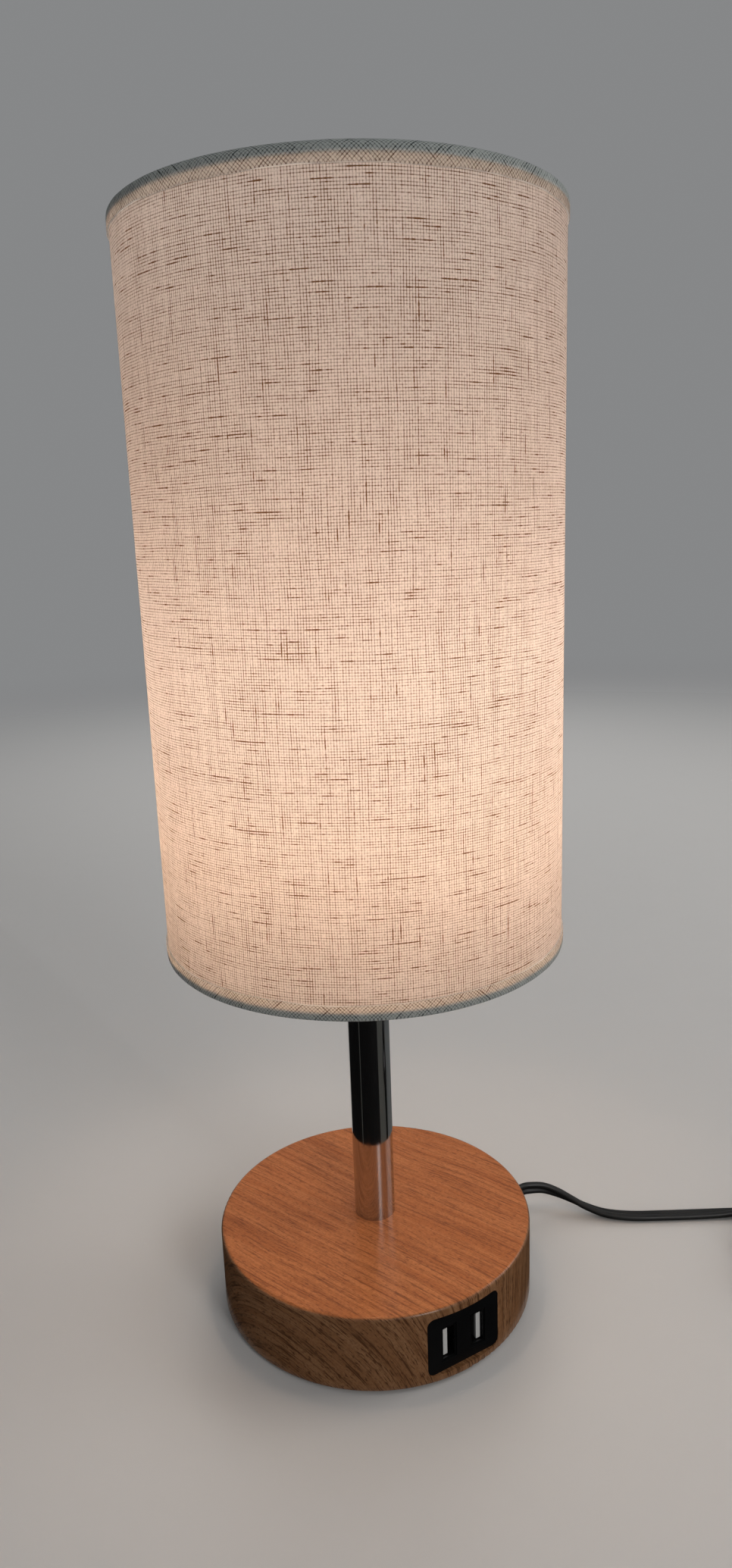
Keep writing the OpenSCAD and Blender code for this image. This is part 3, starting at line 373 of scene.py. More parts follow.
def woodWrap(w):
    finish, tree = startFinish("woodWrap")
    x, y, z = put(tree, "ShaderNodeSeparateXYZ", {0: objectPoint(tree)}).outputs
    drop = calc(tree, "MAXIMUM", calc(tree, "SUBTRACT", w["top"], z), 0.0)
    radius = calc(tree, "MAXIMUM", axisDistance(tree, x, y), w["heart"])
    drawn = calc(tree, "DIVIDE", calc(tree, "MULTIPLY", drop, w["drawn"]), radius)
    spread = calc(tree, "ADD", 1.0, drawn)
    flat = joinVector(tree, calc(tree, "MULTIPLY", x, spread), calc(tree, "MULTIPLY", y, spread))
    turned = put(tree, "ShaderNodeVectorRotate", {"Vector": flat, "Angle": math.radians(w["grainTurn"])},
                 rotation_type="Z_AXIS").outputs[0]
    lie = put(tree, "ShaderNodeSeparateXYZ", {0: turned}).outputs
    along, across = inMm(tree, lie[0]), inMm(tree, lie[1])
    # the growth lines sway slowly
    sway = calc(tree, "SUBTRACT", grainNoise(tree, along, across, w["sway"]), 0.5)
    bent = calc(tree, "ADD", across, calc(tree, "MULTIPLY", sway, w["swayWide"]))
    streak, lines, vessels, pores = [grainNoise(tree, along, bent, w[kind])
                                     for kind in ("streak", "lines", "vessels", "pores")]
    dark = rgb(*w["dark"])
    tone = blendColour(tree, ramp(tree, streak, *w["lightFade"]), rgb(*w["mid"]), rgb(*w["light"]))
    # strokes crowd together along the growth lines
    crowd = ramp(tree, lines, *w["crowdFade"])
    tone = blendColour(tree, calc(tree, "MULTIPLY", crowd, w["crowdTone"]), tone, dark)
    gather = calc(tree, "MULTIPLY", crowd, w["crowdStrokes"])
    side = ramp(tree, inMm(tree, drop), *w["sideFade"])
    deeper = ramp(tree, side, 0.0, 1.0, 1.0, w["sideDepth"])
    for strokes, (start, full, depth) in ((vessels, w["vesselStroke"]), (pores, w["poreStroke"])):
        dash = ramp(tree, calc(tree, "ADD", strokes, gather), start, full, 0.0, depth)
        tone = blendColour(tree, calc(tree, "MULTIPLY", dash, deeper), tone, dark)
    speck = noiseOf(tree, objectPoint(tree), w["specks"])
    tone = blendColour(tree, ramp(tree, speck, *w["speckFade"], 0.0, w["speckDepth"]), tone, dark)
    # painted shade: darker and greyer down the side
    tone = blendColour(tree, side, tone, rgb(*w["sidePaintedShade"]), "MULTIPLY")
    hollow = ramp(tree, pores, *w["hollowFade"])
    height = calc(tree, "SUBTRACT", calc(tree, "MULTIPLY", speck, w["speckHeight"]), hollow)
    surface = put(tree, "ShaderNodeBsdfPrincipled", {
        "Base Color": tone, "Roughness": ramp(tree, streak, *w["polish"]),
        "Normal": bumpOf(tree, height, *w["bump"]), "Specular IOR Level": w["gloss"],
        "Coat Weight": w["coat"], "Coat Roughness": w["coatRoughness"]})
    closeFinish(tree, surface.outputs[0])
    return finish


# laminated drum: cloth outside, styrene inside, glued in an overlap at the back
drumSet = {
    "low": 0.1554,
    "high": 0.4054,
    "outside": 0.075,
    "inside": 0.07395,
    "segments": 360,
    "rows": 40,
    "seamAngle": 60.0,
    "seamWide": 0.010,
    "seamLift": 0.0003,
    "seamSlope": 0.0008,
}

# plain weave with slubs, the same for cloth and tape; lengths are counted in threads
weaveSet = {
    "wander": 1.4,
    "wanderU": 0.018,
    "wanderV": 0.021,
    "wanderLayer": 7.0,
    # pace of a thread's own tone, then the noise level where a slub starts and is full
    "warp": (0.046, 0.638, 0.76),
    "weft": (0.062, 0.606, 0.72),
    "slowPace": 0.012,
    "slowLayer": 3.0,
    "fuzzPace": 0.9,
    "fuzzLayer": 9.0,
    "threadStep": 3.717,  # keeps neighbouring threads apart in the noise
    "weftStart": 4000.0,  # and warp apart from weft
    # noise levels, then the tones or the width that they stand for
    "ownTone": (0.36, 0.66, 0.25, 0.60),
    "slowTone": (0.3, 0.7, -0.09, 0.12),
    "fuzzTone": (0.25, 0.75, -0.18, 0.20),
    "slubSwell": (0.3, 0.7, 0.0, 0.10),
    "slubTone": 0.70,
    "halfThread": 0.25,
    "edge": 6.0,
}


def threadShade(tree, w, kind, count, inside, along):
    # how dark one set of threads is: each thread has its own tone, with uneven slubs along it
    pace, slubStart, slubFull = w[kind]
    place = calc(tree, "MULTIPLY", count, w["threadStep"])
    own = noiseOf(tree, joinVector(tree, place, calc(tree, "MULTIPLY", along, pace)), 1.0, 4.0, 0.62, "2D")
    slowSpot = joinVector(tree, place, calc(tree, "MULTIPLY", along, w["slowPace"]), w["slowLayer"])
    fuzzSpot = joinVector(tree, place, calc(tree, "MULTIPLY", along, w["fuzzPace"]), w["fuzzLayer"])
    slow, fuzz = noiseOf(tree, slowSpot, 1.0, 1.0), noiseOf(tree, fuzzSpot, 1.0, 1.0)
    slub = ramp(tree, own, slubStart, slubFull)
    tone = ramp(tree, own, *w["ownTone"])
    tone = calc(tree, "ADD", tone, ramp(tree, slow, *w["slowTone"]))
    tone = calc(tree, "ADD", tone, ramp(tree, fuzz, *w["fuzzTone"]))
    tone = calc(tree, "ADD", tone, calc(tree, "MULTIPLY", slub, w["slubTone"]))
    swell = calc(tree, "MULTIPLY", slub, ramp(tree, fuzz, *w["slubSwell"]))
    half = calc(tree, "ADD", w["halfThread"], swell)
    off = calc(tree, "ABSOLUTE", calc(tree, "SUBTRACT", inside, 0.5))
    body = calc(tree, "MULTIPLY", calc(tree, "SUBTRACT", half, off), w["edge"])
    body = calc(tree, "MINIMUM", calc(tree, "MAXIMUM", body, 0.0), 1.0)
    return calc(tree, "MAXIMUM", calc(tree, "MULTIPLY", tone, body), 0.0), body, slub


def weave(tree, w, u, v):
    # u and v in threads, with a slow wander so that no thread is ruled straight
    def wander(first, second, pace, layer, dims):
        spot = joinVector(tree, calc(tree, "MULTIPLY", first, pace),
                          calc(tree, "MULTIPLY", second, pace), layer)
        drift = calc(tree, "SUBTRACT", noiseOf(tree, spot, 1.0, dims=dims), 0.5)
        return calc(tree, "ADD", first, calc(tree, "MULTIPLY", drift, w["wander"]))

    bentU = wander(u, v, w["wanderU"], 0.0, "2D")
    bentV = wander(v, u, w["wanderV"], w["wanderLayer"], "3D")
    countU, countV = calc(tree, "FLOOR", bentU), calc(tree, "FLOOR", bentV)
    insideU, insideV = calc(tree, "FRACT", bentU), calc(tree, "FRACT", bentV)
    weftCount = calc(tree, "ADD", countV, w["weftStart"])
    darkU, bodyU, slubU = threadShade(tree, w, "warp", countU, insideU, bentV)
    darkV, bodyV, slubV = threadShade(tree, w, "weft", weftCount, insideV, bentU)
    share = calc(tree, "MINIMUM", calc(tree, "ADD", darkU, darkV), 1.0)
    # warp and weft take turns on top
    parity = calc(tree, "MODULO", calc(tree, "ABSOLUTE", calc(tree, "ADD", countU, countV)), 2.0)
    over = calc(tree, "ADD", calc(tree, "MULTIPLY", parity, bodyU),
                calc(tree, "MULTIPLY", calc(tree, "SUBTRACT", 1.0, parity), bodyV))
    height = calc(tree, "ADD", over, calc(tree, "ADD", slubU, slubV))
    return share, height


# drum cloth, lit through from inside, and its styrene backing
clothSet = {
    "threads": 542,
    "ivory": (0.90, 0.80, 0.75),
    "brown": (0.19, 0.095, 0.045),
    "through": 0.73,
    "roughness": 0.85,
    "sheen": 0.15,
    "gloss": 0.2,
    "bump": (0.35, 0.00025),
    "linerDull": (0.90, 0.87, 0.82),
    "linerClear": (0.95, 0.93, 0.89),
    "linerClouds": 60.0,
    "linerThrough": 0.64,
    "linerRoughness": 0.4,
    # the glue under the tape fills cloth and liner, and lets more light through
    "glue": (1.0, 0.96, 0.94),
    "glueShare": 0.9,
    "glueEdge": (3.8, 4.2),
    "gluedThrough": 0.96,
}
threadPitch = 2 * math.pi * drumSet["outside"] / clothSet["threads"]


def drumPoint(tree, d):
    # way round the drum from the side opposite the seam, and the point turned to match
    turn = math.radians(180 - d["seamAngle"])
    turned = put(tree, "ShaderNodeVectorRotate", {"Vector": objectPoint(tree), "Angle": turn},
                 rotation_type="Z_AXIS").outputs[0]
    spot = put(tree, "ShaderNodeSeparateXYZ", {0: turned}).outputs
    return calc(tree, "MULTIPLY", calc(tree, "ARCTAN2", spot[1], spot[0]), d["outside"]), spot


def rimDistance(tree, z, low, high):
    near = calc(tree, "MINIMUM", calc(tree, "SUBTRACT", z, low), calc(tree, "SUBTRACT", high, z))
    return inMm(tree, near)


def gluedBand(tree, z, c, d):
    return ramp(tree, rimDistance(tree, z, d["low"], d["high"]), *c["glueEdge"], 1.0, 0.0)


def drumCloth(c, d):
    finish, tree = startFinish("drumCloth")
    around, spot = drumPoint(tree, d)
    u = calc(tree, "DIVIDE", around, threadPitch)
    v = calc(tree, "DIVIDE", spot[2], threadPitch)
    share, height = weave(tree, weaveSet, u, v)
    glued = gluedBand(tree, spot[2], c, d)
    colour = blendColour(tree, share, rgb(*c["ivory"]), rgb(*c["brown"]))
    colour = blendColour(tree, calc(tree, "MULTIPLY", glued, c["glueShare"]), colour, rgb(*c["glue"]))
    through = ramp(tree, glued, 0.0, 1.0, c["through"], c["gluedThrough"])
    lift = bumpOf(tree, height, *c["bump"])
    front = put(tree, "ShaderNodeBsdfPrincipled", {
        "Base Color": colour, "Roughness": c["roughness"], "Normal": lift, "Sheen Weight": c["sheen"],
        "Specular IOR Level": c["gloss"]})
    glow = put(tree, "ShaderNodeBsdfTranslucent", {"Color": colour, "Normal": lift})
    closeFinish(tree, mixShaders(tree, through, front, glow))
    return finish


def linerStyrene(c, d):
    finish, tree = startFinish("linerStyrene")
    point = objectPoint(tree)
    cloudy = noiseOf(tree, point, c["linerClouds"], 3.0)
    colour = blendColour(tree, cloudy, rgb(*c["linerDull"]), rgb(*c["linerClear"]))
    glued = gluedBand(tree, put(tree, "ShaderNodeSeparateXYZ", {0: point}).outputs[2], c, d)
    through = ramp(tree, glued, 0.0, 1.0, c["linerThrough"], c["gluedThrough"])
    front = put(tree, "ShaderNodeBsdfPrincipled", {"Base Color": colour, "Roughness": c["linerRoughness"]})
    glow = put(tree, "ShaderNodeBsdfTranslucent", {"Color": colour})
    closeFinish(tree, mixShaders(tree, through, front, glow))
    return finish


# bias tape: the same cloth cut at 45 degrees, folded over the wire
tapeSet = {
    "low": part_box("shade_bottom_trim")[0].z,
    "high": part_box("shade_top_trim")[1].z,
    "height": 0.006,
    "innerHeight": 0.0036,
    "thick": 0.00055,
    "corner": 0.002,
    "outer": 0.0756,
    "inner": 0.07025,
    "legLow": 0.0045,
    "edgeBevel": 0.0003,
    "edgeTurn": 0.35,
    "segments": 240,
    # the cut edge wavers: waves round the rim, phase and size
    "waver": [(7, 1.3, 0.00022), (17, 0.0, 0.00016), (41, 2.0, 0.0001)],
    "waverLow": 0.004,
    "waverOut": 0.25,
    "stillInside": 0.0735,
    # the rolled rim is several layers thick and lets little light through; its grey-blue colour is painted
    # shade with a cool cast on the ivory tape, and the leg laid on the cloth glows with it
    "rolledPaintedShade": (0.41, 0.445, 0.435),
    "rolledDark": (0.035, 0.045, 0.045),
    "rolledThrough": 0.2,
    "laid": (1.0, 0.96, 0.92),
    "laidDark": (0.24, 0.17, 0.13),
    "laidThrough": 0.90,
    "laidFade": (2.4, 4.1),
    "roughness": 0.88,
    "bump": (0.5, 0.0003),
    "backClouds": 400.0,
    "backDull": (0.94, 0.93, 0.91),
    "backClear": (1.0, 1.0, 1.0),
}


def biasTape(t, c, d):
    finish, tree = startFinish("biasTape")
    around, spot = drumPoint(tree, d)
    fold = calc(tree, "SUBTRACT", spot[2], axisDistance(tree, spot[0], spot[1]))
    diagonal = 1 / (math.sqrt(2) * threadPitch)
    u = calc(tree, "MULTIPLY", calc(tree, "ADD", around, fold), diagonal)
    v = calc(tree, "MULTIPLY", calc(tree, "SUBTRACT", around, fold), diagonal)
    share, height = weave(tree, weaveSet, u, v)
    isLaid = ramp(tree, rimDistance(tree, spot[2], t["low"], t["high"]), *t["laidFade"])
    # painted shade: grey-blue on the rolled rim
    rolledPaintedShade = blendColour(tree, share, rgb(*t["rolledPaintedShade"]), rgb(*t["rolledDark"]))
    laid = blendColour(tree, share, rgb(*t["laid"]), rgb(*t["laidDark"]))
    colour = blendColour(tree, isLaid, rolledPaintedShade, laid)
    through = ramp(tree, isLaid, 0.0, 1.0, t["rolledThrough"], t["laidThrough"])
    lift = bumpOf(tree, height, *t["bump"])
    front = put(tree, "ShaderNodeBsdfPrincipled", {
        "Base Color": colour, "Roughness": t["roughness"], "Normal": lift, "Sheen Weight": c["sheen"],
        "Specular IOR Level": c["gloss"]})
    glow = put(tree, "ShaderNodeBsdfTranslucent", {"Color": colour, "Normal": lift})
    closeFinish(tree, mixShaders(tree, through, front, glow))
    return finish


# inner side of the tape, soaked with clear glue
def tapeBack(t):
    finish, tree = startFinish("tapeBack")
    patchy = noiseOf(tree, objectPoint(tree), t["backClouds"])
    colour = blendColour(tree, patchy, rgb(*t["backDull"]), rgb(*t["backClear"]))
    closeFinish(tree, put(tree, "ShaderNodeBsdfTranslucent", {"Color": colour}).outputs[0])
    return finish


# polished chrome with faint drawing lines along the tube
chromeSet = {
    "dull": (0.51, 0.51, 0.52),
    "bright": (0.57, 0.57, 0.58),
    "lines": (900.0, 900.0, 12.0),
    "clouds": 45.0,
    # noise levels, then the roughness that they stand for
    "linePolish": (0.3, 0.7, 0.05, 0.08),
    "haze": (0.5, 0.8, 0.0, 0.03),
}


def poleChrome(c):
    finish, tree = startFinish("poleChrome")
    point = objectPoint(tree)
    stretched = put(tree, "ShaderNodeMapping", {"Vector": point, "Scale": c["lines"]}).outputs[0]
    drawn = ramp(tree, noiseOf(tree, stretched, 1.0), *c["linePolish"])
    cloudy = noiseOf(tree, point, c["clouds"])
    polish = calc(tree, "ADD", drawn, ramp(tree, cloudy, *c["haze"]))
    tone = blendColour(tree, cloudy, rgb(*c["dull"]), rgb(*c["bright"]))
    surface = put(tree, "ShaderNodeBsdfPrincipled", {
        "Base Color": tone, "Roughness": polish, "Metallic": 1.0})
    closeFinish(tree, surface.outputs[0])
    return finish


# lit bulb: brighter at the crown, and most of all next to the diodes, than round the middle
bulbSet = {
    "strength": 7.0,
    "globe": (0.9, 0.88, 0.84),
    "globeRoughness": 0.5,
    "colour": (1.0, 0.83, 0.70),
    "middle": 0.3,
    "crown": 3.3,
    "crownHeights": (0.236, 0.256),
    "foot": 5.7,
    "footHeights": (0.211, 0.221),
    # the white shell below passes a little of the light on, and glows far brighter than that: a stand-in
    # for bulb light on the lower shade and the base top
    "shellDull": (0.78, 0.77, 0.74),
    "shellWhite": (0.83, 0.82, 0.79),
    "shellClouds": 90.0,
    "shellRoughness": 0.4,
    "neck": 1.35,
    "neckLeast": 0.4,
    "neckHeights": (0.178, 0.211),
    "neckColour": (1.0, 0.72, 0.5),
}


def bulbGlow(b):
    finish, tree = startFinish("bulbGlow")
    z = put(tree, "ShaderNodeSeparateXYZ", {0: objectPoint(tree)}).outputs[2]
    crown = ramp(tree, z, *b["crownHeights"], b["middle"], b["crown"])
    foot = ramp(tree, z, *b["footHeights"], b["foot"] - b["middle"], 0.0)
    level = calc(tree, "MULTIPLY", calc(tree, "ADD", crown, foot), b["strength"])
    surface = put(tree, "ShaderNodeBsdfPrincipled", {
        "Base Color": rgb(*b["globe"]), "Roughness": b["globeRoughness"],
        "Emission Color": rgb(*b["colour"]), "Emission Strength": level})
    closeFinish(tree, surface.outputs[0])
    return finish


def bulbShell(b):
    finish, tree = startFinish("bulbShell")
    point = objectPoint(tree)
    z = put(tree, "ShaderNodeSeparateXYZ", {0: point}).outputs[2]
    cloudy = noiseOf(tree, point, b["shellClouds"])
    colour = blendColour(tree, cloudy, rgb(*b["shellDull"]), rgb(*b["shellWhite"]))
    # painted light: the shell glows as a stand-in lamp
    level = ramp(tree, z, *b["neckHeights"], b["neckLeast"] * b["neck"], b["neck"])
    surface = put(tree, "ShaderNodeBsdfPrincipled", {
        "Base Color": colour, "Roughness": b["shellRoughness"],
        "Emission Color": rgb(*b["neckColour"]),
        "Emission Strength": calc(tree, "MULTIPLY", level, b["strength"])})
    closeFinish(tree, surface.outputs[0])
    return finish


# white tongue of a charging socket, with painted shade where it goes down into the shell
tongueSet = {
    "front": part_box("usb_insulators")[0].y,
    "dull": (0.48, 0.48, 0.47),
    "white": (0.54, 0.54, 0.53),
    "paintedShade": (0.05, 0.05, 0.05),
    "fade": (0.1, 1.6),
    "clouds": 300.0,
    "roughness": 0.4,
}


def portTongue(t):
    finish, tree = startFinish("portTongue")
    point = objectPoint(tree)
    y = put(tree, "ShaderNodeSeparateXYZ", {0: point}).outputs[1]
    depth = inMm(tree, calc(tree, "SUBTRACT", y, t["front"]))
    cloudy = noiseOf(tree, point, t["clouds"])
    white = blendColour(tree, cloudy, rgb(*t["dull"]), rgb(*t["white"]))
    # painted shade: darker the deeper it lies in the shell
    tone = blendColour(tree, ramp(tree, depth, *t["fade"]), white, rgb(*t["paintedShade"]))
    surface = put(tree, "ShaderNodeBsdfPrincipled", {"Base Color": tone, "Roughness": t["roughness"]})
    closeFinish(tree, surface.outputs[0])
    return finish


# soft foam under the base
foamSet = {
    "cells": 1400.0,
    "cellFade": (0.1, 0.6),
    "hollow": (0.01, 0.01, 0.01),
    "wall": (0.045, 0.045, 0.047),
    "bump": (0.5, 0.0003),
    "roughness": 0.92,
}


def padFoam(f):
    finish, tree = startFinish("padFoam")
    cells = put(tree, "ShaderNodeTexVoronoi", {"Vector": objectPoint(tree), "Scale": f["cells"]}).outputs[0]
    tone = blendColour(tree, ramp(tree, cells, *f["cellFade"]), rgb(*f["hollow"]), rgb(*f["wall"]))
    surface = put(tree, "ShaderNodeBsdfPrincipled", {
        "Base Color": tone, "Roughness": f["roughness"], "Normal": bumpOf(tree, cells, *f["bump"])})
    closeFinish(tree, surface.outputs[0])
    return finish


finishes = {
    "wood": woodWrap(woodSet),
    "cloth": drumCloth(clothSet, drumSet),
    "liner": linerStyrene(clothSet, drumSet),
    "tape": biasTape(tapeSet, clothSet, drumSet),
    "tapeBack": tapeBack(tapeSet),
    "chrome": poleChrome(chromeSet),
    "glow": bulbGlow(bulbSet),
    "shell": bulbShell(bulbSet),
    "foam": padFoam(foamSet),
    "plate": plainFinish("plateBlack", (0.0036, 0.0036, 0.0039), 0.42, bump=0.12, grain=1600.0, gloss=0.15),
    "cover": plainFinish("coverBlack", (0.025, 0.025, 0.026), 0.55, bump=0.2),
    "holder": plainFinish("holderBlack", (0.018, 0.018, 0.02), 0.32, bump=0.05),
    "cord": plainFinish("cordBlack", (0.012, 0.012, 0.012), 0.42, bump=0.06, grain=600.0),
    "tie": plainFinish("tieBlack", (0.02, 0.02, 0.022), 0.5),
    "tongue": portTongue(tongueSet),
    "portSteel": plainFinish("portSteel", (0.12, 0.12, 0.125), 0.3, 1.0),
    "gold": plainFinish("contactGold", (0.75, 0.55, 0.24), 0.25, 1.0),
    "zinc": plainFinish("zincPlate", (0.55, 0.53, 0.47), 0.35, 1.0, bump=0.1),
    "brass": plainFinish("brassBright", (0.66, 0.50, 0.24), 0.3, 1.0),
    "wire": plainFinish("frameWhite", (0.72, 0.71, 0.68), 0.42, bump=0.1, mottle=0.06),
    "board": plainFinish("boardGreen", (0.03, 0.16, 0.07), 0.4),
    "ferrite": plainFinish("ferriteBlack", (0.04, 0.038, 0.035), 0.7, bump=0.3),
    "capacitor": plainFinish("sleeveBlue", (0.02, 0.045, 0.14), 0.3),
    "dimmer": plainFinish("dimmerWhite", (0.66, 0.66, 0.63), 0.5, bump=0.1, mottle=0.05),
    "lead": plainFinish("leadBlack", (0.015, 0.015, 0.015), 0.5),
    "bush": plainFinish("bushGrey", (0.06, 0.06, 0.06), 0.6, bump=0.15),
    "ceramic": plainFinish("coreCeramic", (0.74, 0.72, 0.66), 0.6, bump=0.25, mottle=0.05),
    "bulbWhite": plainFinish("bulbWhite", (0.80, 0.79, 0.76), 0.4, bump=0.04, mottle=0.04),
    "bulbMetal": plainFinish("capMetal", (0.66, 0.65, 0.62), 0.28, 1.0),
    "bulbBlack": plainFinish("insulatorBlack", (0.015, 0.015, 0.015), 0.15),
    "phosphor": plainFinish("phosphor", (0.75, 0.55, 0.12), 0.5),
}
print("lamp: made", len(finishes), "finishes")

nodeFinish = {
    "wood": ["base_body"],
    "plate": ["usb_faceplate"],
    "portSteel": ["usb_shells"],
    "tongue": ["usb_insulators"],
    "gold": ["usb_contacts"],
    "cover": ["bottom_cover"],
    "foam": ["non_slip_pad"],
    "zinc": ["cover_screws", "board_screws", "threaded_rod", "rod_washer", "rod_nut", "bulb_tip"],
    "board": ["charger_board", "bulb_driver"],
    "ferrite": ["charger_transformer"],
    "capacitor": ["charger_capacitors"],
    "dimmer": ["touch_dimmer"],
    "brass": ["touch_terminal", "plug_blades", "socket_shell", "socket_contact", "terminal_screws"],
    "lead": ["touch_lead", "usb_leads", "socket_leads", "inner_cord"],
    "cord": ["cord_relief", "plug_body", "power_cord", "cord_coil"],
    "tie": ["coil_tie"],
    "chrome": ["pole_tube"],
    "bush": ["lower_bush", "upper_bush"],
    "holder": ["socket_cap", "socket_skirt", "shade_ring_nut"],
    "ceramic": ["socket_core"],
    "wire": ["shade_spider", "shade_top_ring"],
    "liner": ["shade_liner"],
    "cloth": ["shade_fabric"],
    "tape": ["shade_top_trim", "shade_bottom_trim"],
    "bulbBlack": ["bulb_insulator"],
    "bulbMetal": ["bulb_cap"],
    "bulbWhite": ["led_board"],
    "shell": ["bulb_housing"],
    "phosphor": ["led_chips"],
    "glow": ["bulb_globe"],
}
for finishName, nodeNames in nodeFinish.items():
    for nodeName in nodeNames:
        slots = nodes[nodeName].data.materials
        slots.clear()
        slots.append(finishes[finishName])


# the drum's two walls, with the overlap standing proud
def seamRise(angle, d):
    off = (angle - math.radians(d["seamAngle"]) + math.pi) % (2 * math.pi) - math.pi
    arc = abs(off) * d["outside"]
    return d["seamLift"] * (1 - ease((arc - d["seamWide"] / 2) / d["seamSlope"]))


def makeDrum(d):
    points, faces = [], []
    n, rows = d["segments"], d["rows"]
    for wall in ("outside", "inside"):
        for r in range(rows + 1):
            z = d["low"] + (d["high"] - d["low"]) * r / rows
            for k in range(n):
                a = 2 * math.pi * k / n
                radius = d[wall] + (seamRise(a, d) if wall == "outside" else 0.0)
                points.append((radius * math.cos(a), radius * math.sin(a), z))
    inner = (rows + 1) * n
    for r in range(rows):
        low, high = r * n, (r + 1) * n
        for k in range(n):
            j = (k + 1) % n
            faces.append((low + k, low + j, high + j, high + k))
            faces.append((inner + low + j, inner + low + k, inner + high + k, inner + high + j))
    rim = rows * n
    for k in range(n):
        j = (k + 1) % n
        faces.append((j, k, inner + k, inner + j))
        faces.append((rim + k, rim + j, inner + rim + j, inner + rim + k))
    piece = newPiece("drumShade", points, faces)
    piece.data.materials.append(finishes["cloth"])
    piece.data.materials.append(finishes["liner"])
    for p in piece.data.polygons:
        p.material_index = 1 if Vector((p.normal.x, p.normal.y)).dot(Vector(p.center[:2])) < 0 else 0
    return piece


drumShade = makeDrum(drumSet)
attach(drumShade, "shade")
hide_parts("shade_fabric", "shade_liner")


# edge tapes, folded over the two wire rings
def tapeSection(t):
    # closed outline of the fold, from the outer cut edge round the rim to the inner one and back
    def arc(cx, cz, r, start, end, steps=6):
        angles = [math.radians(start + (end - start) * k / steps) for k in range(steps + 1)]
        return [(cx + r * math.cos(a), cz + r * math.sin(a)) for a in angles]

    c, thick, low = t["corner"], t["thick"], t["low"]
    out, into = t["outer"], t["inner"]
    edge, legLow = low + t["height"], low + t["legLow"]
    outside = [(out - thick * t["edgeTurn"], edge), (out, edge - t["edgeBevel"]), (out, legLow)]
    outside += arc(out - c, low + c, c, 0, -90) + arc(into + c, low + c, c, -90, -180)
    outside += [(into, low + t["innerHeight"])]
    inside = [(into + thick, low + t["innerHeight"])]
    inside += arc(into + c, low + c, c - thick, -180, -90) + arc(out - c, low + c, c - thick, -90, 0)
    inside += [(out - thick, legLow), (out - thick, edge)]
    return outside, inside


def makeTape(name, t, d, flip):
    outside, inside = tapeSection(t)
    outline = outside + inside
    n, m = t["segments"], len(outline)
    points, faces = [], []
    for k in range(n):
        a = 2 * math.pi * k / n
        rise = seamRise(a, d)
        waver = sum(size * math.sin(waves * a + phase) for waves, phase, size in t["waver"])
        for r, z in outline:
            share = max(0.0, (r - t["stillInside"]) / (t["outer"] - t["stillInside"]))
            climb = max(0.0, (z - t["low"] - t["waverLow"]) / (t["height"] - t["waverLow"]))
            radius = r + rise * share + t["waverOut"] * waver * share
            height = z + waver * climb
            if flip:
                height = t["low"] + t["high"] - height
            points.append((radius * math.cos(a), radius * math.sin(a), height))
    for k in range(n):
        j = (k + 1) % n
        for i in range(m):
            e = (i + 1) % m
            faces.append((k * m + i, k * m + e, j * m + e, j * m + i))
    piece = newPiece(name, points, faces)
    sides = [0] * len(outside) + [1] * len(inside)
    piece.data.polygons.foreach_set("material_index", sides * n)
    outwards(piece)
    piece.data.materials.append(finishes["tape"])
    piece.data.materials.append(finishes["tapeBack"])
    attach(piece, "shade")
    return piece


lowTape = makeTape("bottomTape", tapeSet, drumSet, False)
topTape = makeTape("topTape", tapeSet, drumSet, True)
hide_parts("shade_bottom_trim")
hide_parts("shade_top_trim")
print("lamp: shade dressed")


# screw threads, cut into turned bodies by a node tree
threadSet = {
    "holder": {
        "pitch": 0.0025, "depth": 0.0006, "low": 0.1556, "high": 0.1771, "fade": 0.0012, "least": 0.0185,
        "segments": 120, "step": 0.0004, "sharpFrom": 40.0,
        # radius and height, in order round the section
        "outline": [
            (0.0158, 0.13765), (0.0167, 0.13765), (0.0167, 0.14145), (0.019, 0.14145), (0.019, 0.15045),
            (0.023, 0.15245), (0.023, 0.15445), (0.0195, 0.15445), (0.0195, 0.17685), (0.0189, 0.17745),
            (0.01375, 0.17745), (0.01375, 0.15595), (0.0158, 0.15595),
        ],
    },
    "cap": {
        "pitch": 0.00363, "depth": 0.0004, "low": 0.1611, "high": 0.1778, "fade": 0.0014, "least": 0.0127,
        "segments": 96, "step": 0.0004, "sharpFrom": 40.0,
        "outline": [
            (0.0, 0.15905), (0.0115, 0.15905), (0.01296, 0.16105), (0.01296, 0.17805), (0.01246, 0.17805),
            (0.01246, 0.16105), (0.0, 0.16105),
        ],
    },
}


